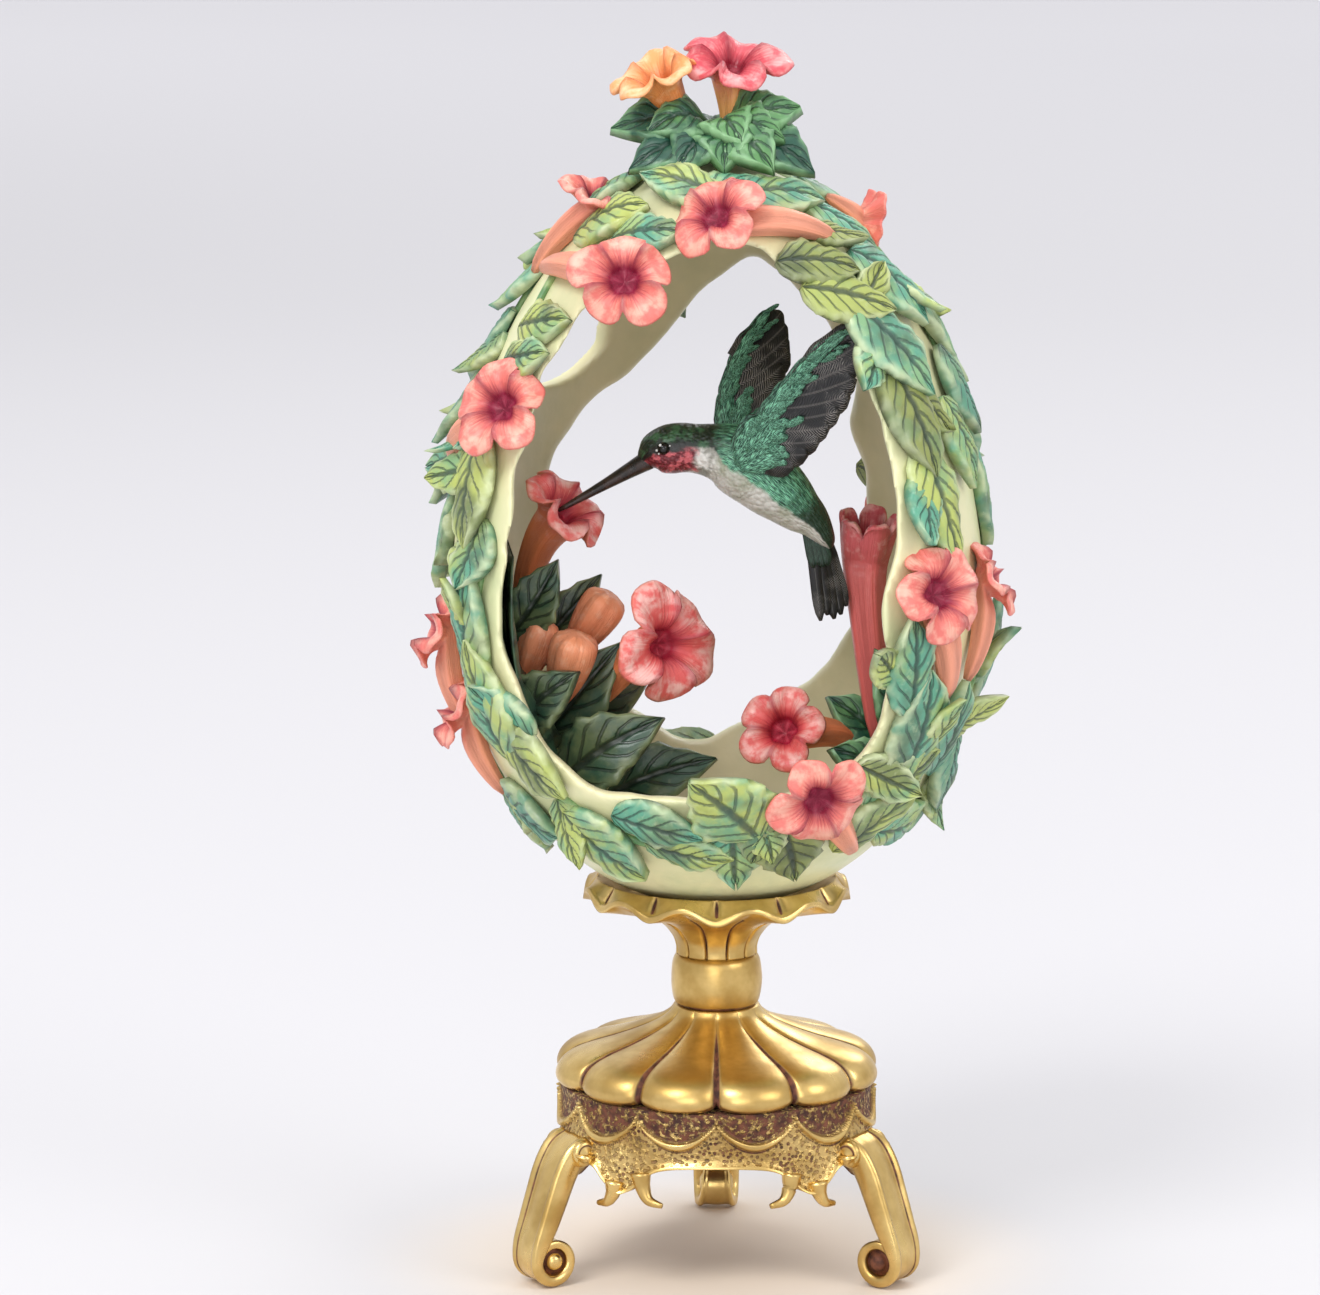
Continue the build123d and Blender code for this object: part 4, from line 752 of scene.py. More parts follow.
def add_trumpet(sheet, points, radii, rim_radius, facing, seed, flare, curl):
    """A trumpet flower from its base to the middle of its mouth, hollow in its throat."""
    shake = random.Random(seed)
    phase = shake.uniform(0, 1)
    facing = facing.normalized()
    base, middle, throat, mouth = points
    start_way = (middle - base).normalized()
    steady = start_way.cross(facing)
    if steady.length < 0.1:
        steady = start_way.cross(Vector((1, 1, 0)))
    steady.normalize()
    depth = (mouth - throat).length
    thick = PETAL_THICKNESS * rim_radius / FLOWER_RADIUS * 1.35
    sway = [shake.uniform(-0.12, 0.16) for _ in range(PETALS)]
    rows = []

    def ring(centre, axis, radius, opened, reach, inside, inset=0.0):
        x_way = steady.cross(axis).normalized()
        y_way = axis.cross(x_way).normalized()
        row = []
        for turn in range(TURNS):
            angle = 2 * math.pi * turn / TURNS
            lobe = abs(math.cos(PETALS * angle / 2))
            full = lobe**0.5
            own = sway[int((PETALS * angle / (2 * math.pi) + 0.5) % PETALS)] * lobe
            reach_out = radius * (1 - NOTCH_SHARE * opened**1.4 * (1 - full) + own * opened**2) - inset
            ridged = 1 + 0.05 * (1 - opened) * math.cos(PETALS * angle)
            ruffle = 0.045 * opened**2 * math.sin(2 * PETALS * angle + seed) * rim_radius
            cup = 0.16 * rim_radius * opened * (1 - opened) * 4 * (lobe - 0.5)
            ruffle += own * opened**2 * rim_radius * 1.2 - cup
            back = curl * rim_radius * opened**3 * (full - 0.25)
            way = x_way * math.cos(angle + phase) + y_way * math.sin(angle + phase)
            point = centre + way * (reach_out * ridged) + facing * (ruffle - back) * 0.9
            row.append((point, (reach, inside, lobe, (seed % 17) / 17)))
        rows.append(row)

    def flared(share):
        """Radius and rise of the mouth at a share of its opening."""
        return radii[2] + (rim_radius - radii[2]) * share**flare, depth * (1.45 * share - 0.45 * share * share)

    control = middle * 2 - (base + throat) / 2
    for step in range(TUBE_STEPS):
        t = step / TUBE_STEPS
        centre = base * (1 - t) ** 2 + control * (2 * t * (1 - t)) + throat * t * t
        way = (control - base) * (1 - t) + (throat - control) * t
        axis = (way.normalized() * (1 - t * t) + facing * t * t).normalized()
        radius = blend(((0, radii[0] * 0.55), (0.12, radii[0]), (0.55, radii[1]), (1, radii[2])), t)[0]
        ring(centre, axis, radius, 0, 0.5 * t, 0)
    for step in range(FLARE_STEPS + 1):
        share = step / FLARE_STEPS
        radius, rise = flared(share)
        ring(throat + facing * rise, facing, radius, share, 0.5 + 0.5 * share, 0)
    for lip, inside, inset in ((0.15, 0.3, -0.2), (0.5, 0.7, -0.05)):
        ring(throat + facing * (depth + thick * lip), facing, rim_radius, 1, 1, inside, thick * inset)
    for step in range(FLARE_STEPS + 1):
        share = 1 - step / FLARE_STEPS
        radius, rise = flared(share)
        ring(throat + facing * (rise + thick * 0.8), facing, radius, share, 0.3 + 0.7 * share, 1, thick * 0.8)
    for step in range(1, 4):
        sunk = throat + facing * (thick * 0.8 - radii[2] * 0.05 * step)
        ring(sunk, facing, (radii[2] - thick * 0.8) * (1 - 0.28 * step), 0, 0.24 - 0.08 * step, 1)
    sheet.rows(rows)


def add_relief_flower(sheet, mouth, base, size, lean, seed):
    rim_radius = FLOWER_RADIUS * size
    slim = TUBE_RADIUS * size
    standoff = FLOWER_STANDOFF * size
    start = on_egg(*base, slim * 0.7)
    end = on_egg(*mouth, standoff)
    out = skin_normal(*mouth)
    away = (end - start).normalized()
    facing = (out + away * lean).normalized()
    throat = end - facing * (standoff * 0.75)
    middle = settled((start + throat) * 0.5, slim)
    closed = lean > 1.1
    add_trumpet(sheet, (start, middle, throat, end), (slim * 0.6, slim, slim * 1.3),
                rim_radius * (1.12 if closed else 1.1), facing, seed,
                flare=1.3 if closed else 1.45, curl=0.12 if closed else 0.42)


# Each flower: mouth azimuth and height share, base azimuth and share, size share, lean
RELIEF_FLOWERS = {
    "upper_left_flower": ((-28, 0.85, -74, 0.855, 1.02, 0.5),),
    "left_closed_flowers": ((-76, 0.94, -90, 0.845, 0.78, 2.2),),
    "top_flower": ((-2, 0.925, 50, 0.9, 1, 0.5),),
    "left_rib_flower": ((-56, 0.69, -88, 0.6, 1, 0.6),),
    "lower_left_flowers": ((-84, 0.385, -82, 0.25, 0.88, 0.9), (-79, 0.285, -76, 0.17, 0.82, 0.9)),
    "right_rib_flower": ((49, 0.465, 57, 0.32, 1.05, 0.4),),
    "right_side_flower": ((76, 0.46, 68, 0.33, 0.8, 0.7),),
    "lower_right_flower": ((24, 0.21, 44, 0.12, 1, 0.2),),
    "upper_right_buds": ((96, 0.9, 88, 0.945, 0.65, 1.8),),
    "back_flower": ((150, 0.885, 118, 0.86, 1, 0.5), (-140, 0.14, -165, 0.1, 0.9, 0.5)),
    "rear_right_flower": ((136, 0.5, 122, 0.38, 1, 0.6),),
}


def build_relief_flowers():
    seed = 3
    for name, flowers in RELIEF_FLOWERS.items():
        sheet = Sheet()
        for mouth_turn, mouth_share, base_turn, base_share, size, lean in flowers:
            seed += 5
            add_relief_flower(sheet, (mouth_turn, mouth_share), (base_turn, base_share), size, lean, seed)
        piece(name + "_painted", sheet, coral_look, "egg", [name])


# Shell

FRONT_RIM = (
    (8, 0.91), (19, 0.9), (26, 0.87), (36, 0.835), (41, 0.79), (41, 0.7), (43, 0.6), (40, 0.51),
    (37, 0.44), (40, 0.35), (38, 0.27), (30, 0.225), (14, 0.2), (-10, 0.2), (-28, 0.198),
    (-39, 0.225), (-47, 0.3), (-51, 0.38), (-51, 0.47), (-51, 0.57), (-51, 0.66), (-50, 0.75),
    (-45, 0.81), (-35, 0.85), (-20, 0.888), (-6, 0.906),
)
BACK_RIM = (
    (-9, 0.845), (12, 0.755), (20, 0.7), (32, 0.645), (40, 0.58), (42, 0.48), (40, 0.37),
    (33, 0.27), (22, 0.215), (8, 0.17), (-6, 0.195), (-22, 0.245), (-32, 0.32), (-36, 0.44),
    (-35, 0.55), (-33, 0.62), (-36, 0.69), (-30, 0.77), (-20, 0.825),
)
SIDE_RIM = (
    (-17, 0.735), (-9, 0.69), (4, 0.675), (15, 0.69), (21, 0.745), (17, 0.805), (6, 0.845),
    (-7, 0.825),
)
SIDE_FACING = -128
SHELL_VOXEL = 0.55 * MM
RIM_SEED = 5
EGG_RINGS = 64
EGG_TURNS = 96


def egg_body(name, grow):
    """A closed egg mesh, its skin moved out by grow."""
    rows = []
    for step in range(EGG_RINGS + 1):
        swing = math.sin(math.radians(180 * step / EGG_RINGS - 90))
        reach = WIDEST_SHARE if swing < 0 else 1 - WIDEST_SHARE
        share = WIDEST_SHARE + reach * swing
        radius = max((EGG_RADIUS + grow) * egg_radius_share(share), 0.02 * MM)
        level = EGG_BASE - grow + (EGG_HEIGHT + 2 * grow) * share
        rows.append([(polar(radius, 360 * turn / EGG_TURNS, level), PLAIN_MARK) for turn in range(EGG_TURNS)])
    sheet = Sheet()
    sheet.rows(rows)
    return bare(name, sheet)


def opening_cutter(name, rim, facing):
    """A block as wide as an opening with an uneven rim, from the axis out of the wall."""
    corners = []
    for azimuth, share in rim:
        across = EGG_RADIUS * egg_radius_share(share) * math.sin(math.radians(azimuth))
        corners.append(Vector((across, 0, EGG_BASE + EGG_HEIGHT * share)))
    wavy = []
    for point in closed_smooth(corners, 6):
        shift = noise.noise_vector(point * 260) * 0.7 * MM
        wavy.append(point + Vector((shift.x, 0, shift.z)))
    turn = Matrix.Rotation(math.radians(facing), 3, "Z")
    sheet = Sheet()
    sheet.rows([[(turn @ (point - Vector((0, depth, 0))), PLAIN_MARK) for point in wavy]
                for depth in (EGG_RADIUS * 1.2, 0)])
    return bare(name, sheet)


def applied(obj):
    """Make an object's modifiers part of its mesh."""
    graph = bpy.context.evaluated_depsgraph_get()
    mesh = bpy.data.meshes.new_from_object(obj.evaluated_get(graph))
    obj.modifiers.clear()
    obj.data = mesh


def build_shell():
    # noise_vector, which makes the rims uneven, gives the same values in each run only with a seed
    noise.seed_set(RIM_SEED)
    shell = egg_body("egg_shell_painted", 0)
    cutters = [
        egg_body("shell_hollow", -EGG_WALL),
        opening_cutter("front_cutter", FRONT_RIM, 0),
        opening_cutter("back_cutter", BACK_RIM, 180),
        opening_cutter("side_cutter", SIDE_RIM, SIDE_FACING),
    ]
    for cutter in cutters:
        cut = shell.modifiers.new("cut", "BOOLEAN")
        cut.operation = "DIFFERENCE"
        cut.object = cutter
        cut.solver = "EXACT"
    remesh = shell.modifiers.new("even", "REMESH")
    remesh.mode = "VOXEL"
    remesh.voxel_size = SHELL_VOXEL
    soften = shell.modifiers.new("soften", "SMOOTH")
    soften.iterations = 7
    soften.factor = 0.5
    applied(shell)
    for cutter in cutters:
        bpy.data.objects.remove(cutter)
    # The mark says how deep a point lies in the wall, so that the inside of the shell gets painted shade.
    marks = []
    for vertex in shell.data.vertices:
        share = min(max((vertex.co.z - EGG_BASE) / EGG_HEIGHT, 0), 1)
        inwards = EGG_RADIUS * egg_radius_share(share) - math.hypot(vertex.co.x, vertex.co.y)
        depth = inwards * abs(skin_normal(0, share).y) / EGG_WALL
        marks.append((min(max(depth * 1.6 - 0.5, 0), 1), 0, 0, 1))
    finish_piece(shell, marks, shell_look, "egg", ["egg_shell"])


# Crown

# Each leaf: azimuth, length, rise of the tip, width, tone and rise of the root
CROWN_LEAVES = (
    (-88, 12.8, 3.6, 8.2, 0.3, 2.8), (-62, 12.2, -0.9, 8.0, 0.1, 1.6), (-34, 9.6, -0.9, 7.6, 0.2, 1.4),
    (2, 8.6, -0.7, 7.6, 0.5, 1.6), (36, 10.2, -0.8, 8.6, 0.8, 2.2), (64, 12.4, -1.5, 8.0, 0.2, 1.8),
    (84, 9.8, 6.2, 8.0, 0.8, 3.0), (112, 10.4, 2.4, 8.0, 0.4, 2.0), (146, 10.4, 1.4, 8.2, 0.3, 1.8),
    (180, 10.4, 1.6, 8.2, 0.5, 1.8), (-146, 10.6, 1.6, 8.2, 0.3, 1.8), (-114, 11.4, 2.8, 8.2, 0.4, 2.2),
    (-66, 9.4, 3.4, 7.0, 0.5, 3.4), (20, 7.4, 2.0, 6.8, 0.9, 3.4), (56, 9.0, 2.6, 7.0, 0.9, 3.6),
)
# Each flower: shift sideways in tube radii, way to its mouth in standoffs, facing, size, look, flare
CROWN_FLOWERS = (
    ("crown_orange_flower", -1.2, (-1.7, -0.4, 3.1), (-0.5, -0.3, 1), 0.98, orange_look, 1.5),
    ("crown_red_flower", 0.9, (0.05, 0.3, 3.55), (0.12, -0.42, 1), 1.14, red_look, 1.6),
)


def build_crown():
    sheet = Sheet()
    for index, (azimuth, length, rise, width, tone, low) in enumerate(CROWN_LEAVES):
        root = polar(0.9 * MM, azimuth, EGG_TOP + low * MM)
        tip = polar((length + 0.9) * MM, azimuth + 3, EGG_TOP + rise * MM)
        face = Vector((0, -0.95 if abs(azimuth) < 100 else 0.2, 1))
        add_free_leaf(sheet, root, tip, width * MM, 1.4 * MM, face, tone, 1, 40 + index, 2.1 * MM, fold=0.1)
    piece("crown_leaves_veined", sheet, dark_leaf_look, "egg", ["crown_leaves"])
    for index, (name, shift, way, facing, size, look, flare) in enumerate(CROWN_FLOWERS):
        start = UP * (EGG_TOP + TUBE_RADIUS * 0.4) + Vector((TUBE_RADIUS * shift, 0, 0))
        facing = Vector(facing).normalized()
        mouth = start + Vector(way) * FLOWER_STANDOFF
        throat = mouth - facing * (FLOWER_STANDOFF * 0.9)
        sheet = Sheet()
        add_trumpet(sheet, (start, (start + throat) * 0.5, throat, mouth),
                    (TUBE_RADIUS * 0.6, TUBE_RADIUS * 0.8, TUBE_RADIUS * 1.3),
                    FLOWER_RADIUS * size * 1.04, facing, 71 + index, flare, 0.3)
        piece(name + "_painted", sheet, look, "egg", [name])


# Bouquet and spray

SPRAY_FLOWER_RADIUS = 5.2 * MM
SPRAY_TUBE_RADIUS = 1.7 * MM
BUD_RADIUS = 3.0 * MM
SPRAY_FLOWERS = {
    "feeding_flower": (
        (-0.74, 0.1, 0.4), (-0.69, 0.08, 0.47), (-0.556, 0, 0.539), (0.75, -0.35, 0.85), 1.15, 1.25, 1.6, 0.32),
    "open_flower": (
        (-0.46, -0.02, 0.275), (-0.34, -0.1, 0.33), (-0.17, -0.235, 0.366), (0.8, -0.85, 0.12), 1.42, 1.3, 1.8, 0.36),
    "low_flower": (
        (0.52, 0.16, 0.2), (0.44, 0.08, 0.225), (0.24, -0.08, 0.245), (-0.3, -1, 0.55), 1, 1.1, 1.9, 0.3),
    "tall_flower": (
        (0.63, 0.04, 0.2), (0.57, 0.06, 0.38), (0.57, 0.12, 0.5), (0.1, -0.2, 1), 0.74, 1.4, 1.0, -0.6),
}
BUDS = {
    "upper_bud": ((-0.56, 0.02, 0.335), (-0.4, -0.02, 0.42), 1),
    "side_bud": ((-0.74, -0.08, 0.3), (-0.65, -0.1, 0.39), 0.85),
    "orange_bud": ((-0.6, -0.14, 0.28), (-0.52, -0.21, 0.378), 1.05),
}
BOUQUET_LEAVES = (
    ((-0.74, 0, 0.19), (-0.36, -0.1, 0.36), 1.1), ((-0.62, -0.2, 0.165), (-0.2, -0.28, 0.27), 1.1),
    ((-0.7, 0.2, 0.2), (-0.24, 0.14, 0.31), 1.1), ((-0.5, -0.05, 0.13), (0.0, -0.06, 0.2), 1),
    ((-0.8, -0.06, 0.36), (-0.6, -0.08, 0.47), 0.8), ((-0.74, 0.1, 0.32), (-0.44, 0.1, 0.44), 0.8),
    ((-0.76, -0.2, 0.26), (-0.52, -0.34, 0.335), 0.9),
)
SPRAY_LEAVES = (
    ((0.72, -0.02, 0.2), (0.6, -0.08, 0.35), 0.8), ((0.7, 0.2, 0.18), (0.42, 0.16, 0.27), 0.9),
    ((0.66, -0.16, 0.18), (0.42, -0.24, 0.225), 0.8),
)
SPRAY_LEAF_WIDTH = 8.5 * MM
SPRAY_LEAF_FACE = Vector((0.2, -1, 0.5))
CASTING_THICKNESS = 4.5 * MM
CASTING_LEVELS = 16
CASTING_TURNS = 24
BUD_STEPS = 18
BUD_TURNS = 48


def add_casting(sheet, first, last, low, high, thickness, tone):
    """A lumpy lining against the inside of the wall."""
    rows = []
    for step in range(CASTING_LEVELS + 1):
        level = step / CASTING_LEVELS
        share = low + (high - low) * level
        height = EGG_BASE + EGG_HEIGHT * share
        slope = EGG_WALL / abs(skin_normal(0, share).y)
        wall = EGG_RADIUS * egg_radius_share(share) - slope + 0.3 * MM
        depth = blend(((0, 0.3), (0.2, 0.85), (0.5, 1), (0.8, 0.8), (1, 0.15)), level)[0] * thickness
        row = []
        for turn in range(CASTING_TURNS + 1):
            bulge = math.sin(math.pi * turn / CASTING_TURNS) ** 0.6
            point = polar(wall - depth * bulge, first + (last - first) * turn / CASTING_TURNS, height)
            lump = noise.noise(point * 330) * 1.3 * MM * bulge
            row.append(point + Vector((-point.x, -point.y, 0)).normalized() * (lump + 0.3 * MM * bulge))
        row += [polar(wall + 0.2 * MM, azimuth, height) for azimuth in (last, first)]
        rows.append([(point, (level, 0.8, tone, 0.9)) for point in row])
    sheet.rows(rows)


def add_bud(sheet, base, tip, radius, seed):
    """A closed flower with five folds, swelling towards its tip."""
    axis = tip - base
    length = axis.length
    axis.normalize()
    side = axis.cross(Vector((0, 1, 0))).normalized()
    other = axis.cross(side)
    rows = []
    for step in range(BUD_STEPS + 1):
        t = step / BUD_STEPS
        swell = blend(((0, 0.34), (0.3, 0.74), (0.6, 0.96), (0.84, 1), (0.94, 0.84), (1, 0.4)), t)[0]
        row = []
        for turn in range(BUD_TURNS):
            angle = 2 * math.pi * turn / BUD_TURNS + seed
            lobe = abs(math.cos(PETALS / 2 * angle))
            fold = 1 - 0.12 * (1 - lobe) ** 2 * t - 0.05 * (1 - lobe**0.4)
            dent = -0.12 * length * (1 - lobe) * max(0, t - 0.8) * 5 * (1 - t)
            way = side * math.cos(angle) + other * math.sin(angle)
            point = base + axis * (length * t + dent) + way * (radius * swell * fold)
            row.append((point, (0.3 + 0.7 * t, 0, lobe, (seed % 7) / 7)))
        rows.append(row)
    sheet.rows(rows)


def build_sprays():
    for index, (name, shape) in enumerate(SPRAY_FLOWERS.items()):
        base, middle, mouth, facing, rim, slim, flare, curl = shape
        facing = Vector(facing).normalized()
        slim = SPRAY_TUBE_RADIUS * slim
        end = spot(*mouth)
        throat = end - facing * (slim * 1.6)
        sheet = Sheet()
        add_trumpet(sheet, (spot(*base), spot(*middle), throat, end), (slim * 0.75, slim, slim * 1.3),
                    SPRAY_FLOWER_RADIUS * rim * 1.05, facing, 90 + index, flare, curl)
        look = rose_look if name == "tall_flower" else terracotta_look
        piece(name + "_painted", sheet, look, "egg", [name])
    for index, (name, (base, tip, size)) in enumerate(BUDS.items()):
        sheet = Sheet()
        add_bud(sheet, spot(*base), spot(*tip), BUD_RADIUS * size, index + 1)
        piece(name + "_painted", sheet, bud_look, "egg", [name])
    sheet = Sheet()
    add_casting(sheet, -116, -54, 0.17, 0.5, CASTING_THICKNESS, 0.3)
    add_casting(sheet, -100, -58, 0.13, 0.36, CASTING_THICKNESS * 1.5, 0.2)
    for index, (root, tip, width) in enumerate(BOUQUET_LEAVES):
        add_free_leaf(sheet, spot(*root), spot(*tip), SPRAY_LEAF_WIDTH * width, 1.5 * MM, SPRAY_LEAF_FACE,
                      0.3 + 0.1 * (index % 3), 0.95, 120 + index, 1.2 * MM)
    piece("bouquet_leaves_veined", sheet, deep_leaf_look, "egg", ["bouquet_leaves"])
    sheet = Sheet()
    add_casting(sheet, 60, 124, 0.14, 0.3, CASTING_THICKNESS * 1.3, 0.3)
    for index, (root, tip, width) in enumerate(SPRAY_LEAVES):
        add_free_leaf(sheet, spot(*root), spot(*tip), SPRAY_LEAF_WIDTH * width, 1.5 * MM, SPRAY_LEAF_FACE,
                      0.4, 0.95, 140 + index, 1.0 * MM)
    piece("spray_leaves_veined", sheet, dark_leaf_look, "egg", ["spray_leaves"])


# Hummingbird

BEAK_TIP = spot(-0.538, -0.02, 0.546)
BIRD_LENGTH = 35.1 * MM
BIRD_TURNS = 40
EYE_RADIUS = 0.85 * MM
FEATHER_ROWS = 12
# Along, up, half height and half width of the body, in shares of the bird's length
BODY_STATIONS = (
    (0.245, 0.146, 0.022, 0.022), (0.262, 0.16, 0.045, 0.045), (0.29, 0.176, 0.074, 0.07), (0.34, 0.19, 0.09, 0.085),
    (0.39, 0.197, 0.091, 0.087), (0.44, 0.194, 0.09, 0.086), (0.5, 0.186, 0.1, 0.095), (0.556, 0.171, 0.117, 0.111),
    (0.61, 0.14, 0.128, 0.12), (0.67, 0.103, 0.13, 0.12), (0.72, 0.06, 0.122, 0.112), (0.77, 0.017, 0.108, 0.1),
    (0.82, -0.03, 0.088, 0.084), (0.87, -0.074, 0.066, 0.068), (0.92, -0.14, 0.035, 0.05),
    (0.935, -0.17, 0.012, 0.03),
)


def bird_point(along, up, side=0.0):
    return BEAK_TIP + Vector((along, side, up)) * BIRD_LENGTH


def add_feather(sheet, root, tip, width, face, green, light, sag=0.0, thick=0.22 * MM):
    """One feather, a thin cambered blade with a shaft."""
    along_way = tip - root
    across_way = along_way.cross(face).normalized()
    ridge = across_way.cross(along_way).normalized()
    rows = []
    for r in range(FEATHER_ROWS + 1):
        along = r / FEATHER_ROWS
        half = width / 2 * min(1, 0.35 + along * 2.2)
        half *= math.sqrt(max(0.02, 1 - max(0, (along - 0.72) / 0.29) ** 2))
        centre = root + along_way * along + across_way * (sag * math.sin(math.pi * along))
        row = []
        for columns, share, lift in ((range(9), 1, thick), (range(8, -1, -2), 0.98, -thick)):
            for c in columns:
                side = -1 + c / 4
                camber = 0.1 * width * (1 - side * side)
                point = centre + across_way * (half * side * share) + ridge * (camber + lift)
                row.append((point, (along, 0.5 + side / 2, green, light)))
        rows.append(row)
    sheet.rows(rows)


# Feathers of a wing in shares of the bird's length: root, tip (along and up) and width
NEAR_PRIMARIES = (
    ((0.84, 0.5), (1.03, 0.645), 0.075), ((0.81, 0.46), (1.038, 0.59), 0.08), ((0.79, 0.42), (1.035, 0.53), 0.085),
    ((0.77, 0.38), (1.025, 0.465), 0.09), ((0.75, 0.34), (1.005, 0.4), 0.09), ((0.73, 0.3), (0.97, 0.34), 0.09),
    ((0.71, 0.26), (0.935, 0.28), 0.085), ((0.69, 0.22), (0.9, 0.225), 0.08), ((0.67, 0.19), (0.86, 0.17), 0.075),
    ((0.65, 0.16), (0.81, 0.12), 0.07),
)
NEAR_COVERTS = (
    ((0.6, 0.14), (0.68, 0.3), 0.1), ((0.64, 0.17), (0.76, 0.38), 0.09), ((0.68, 0.25), (0.8, 0.44), 0.08),
    ((0.74, 0.34), (0.87, 0.53), 0.07), ((0.8, 0.43), (0.94, 0.6), 0.06), ((0.87, 0.52), (0.995, 0.64), 0.045),
    ((0.6, 0.12), (0.74, 0.22), 0.1), ((0.64, 0.12), (0.78, 0.3), 0.09), ((0.62, 0.1), (0.76, 0.15), 0.09),
)
FAR_PRIMARIES = (
    ((0.58, 0.47), (0.765, 0.62), 0.07), ((0.58, 0.43), (0.78, 0.575), 0.075), ((0.58, 0.39), (0.785, 0.53), 0.08),
    ((0.57, 0.35), (0.79, 0.485), 0.08), ((0.57, 0.31), (0.77, 0.435), 0.08), ((0.57, 0.27), (0.74, 0.38), 0.08),
    ((0.57, 0.23), (0.72, 0.33), 0.08), ((0.58, 0.19), (0.69, 0.27), 0.08),
)
FAR_COVERTS = (
    ((0.55, 0.19), (0.57, 0.36), 0.08), ((0.55, 0.3), (0.61, 0.46), 0.075), ((0.57, 0.4), (0.66, 0.56), 0.065),
    ((0.6, 0.48), (0.72, 0.63), 0.05), ((0.58, 0.2), (0.64, 0.34), 0.09), ((0.6, 0.17), (0.68, 0.27), 0.09),
)
TAIL_FEATHERS = (
    ((0.86, -0.1), (0.9, -0.44), 0.045), ((0.875, -0.1), (0.925, -0.42), 0.05), ((0.885, -0.1), (0.95, -0.435), 0.05),
    ((0.9, -0.1), (0.975, -0.42), 0.05), ((0.91, -0.1), (0.995, -0.39), 0.045),
)
WING_RISE = 0.036
# Glints of an eye: place beside its middle and above it, and size, in mm
GLINTS = ((-0.25, 0.35, 0.2), (0.35, -0.1, 0.13), (-0.75, -0.3, 0.16), (-0.5, -0.72, 0.13), (0.9, 0.3, 0.12))


def build_wing(node, primaries, coverts, start, lean, side):
    """A wing in a plane that leans from its start, with its face to the front."""
    sheet = Sheet()
    name = node + "_feathers"
    face = -Vector((-lean[0], 1, -lean[1])).normalized()

    def feather(root, tip, layer, width, face, green, **form):
        ends = []
        for point in (root, tip):
            leaning = lean[0] * (point[0] - start[0]) + lean[1] * (point[1] - start[1])
            ends.append(bird_point(point[0] - 0.01, point[1] + WING_RISE, side + leaning + layer))
        add_feather(sheet, *ends, BIRD_LENGTH * width, face, green, 1, **form)

    for index, (root, tip, width) in enumerate(primaries):
        feather(root, tip, -0.003 * (index - len(primaries) / 2), width * 1.5, face, 0, sag=0.4 * MM)
    for index, (root, tip, width) in enumerate(coverts):
        feather(root, tip, -0.014 - 0.003 * (index % 3), width * 0.66, face, 1, thick=0.3 * MM)
        shake = random.Random(index + len(name))
        reach = (tip[0] - root[0], tip[1] - root[1])
        for small in range(5):
            near = 0.12 + 0.2 * small
            shift = shake.uniform(-0.018, 0.018)
            first = (root[0] + reach[0] * near + shift, root[1] + reach[1] * near - shift)
            last = (first[0] + reach[0] * 0.3 + 0.018, first[1] + reach[1] * 0.26 - 0.012)
            feather(first, last, -0.02 - 0.002 * small, width * 0.3, face, 1)
        feather(root, tip, 0.008, width, -face, 0.6)
    piece(name, sheet, feather_look, "egg", [node])


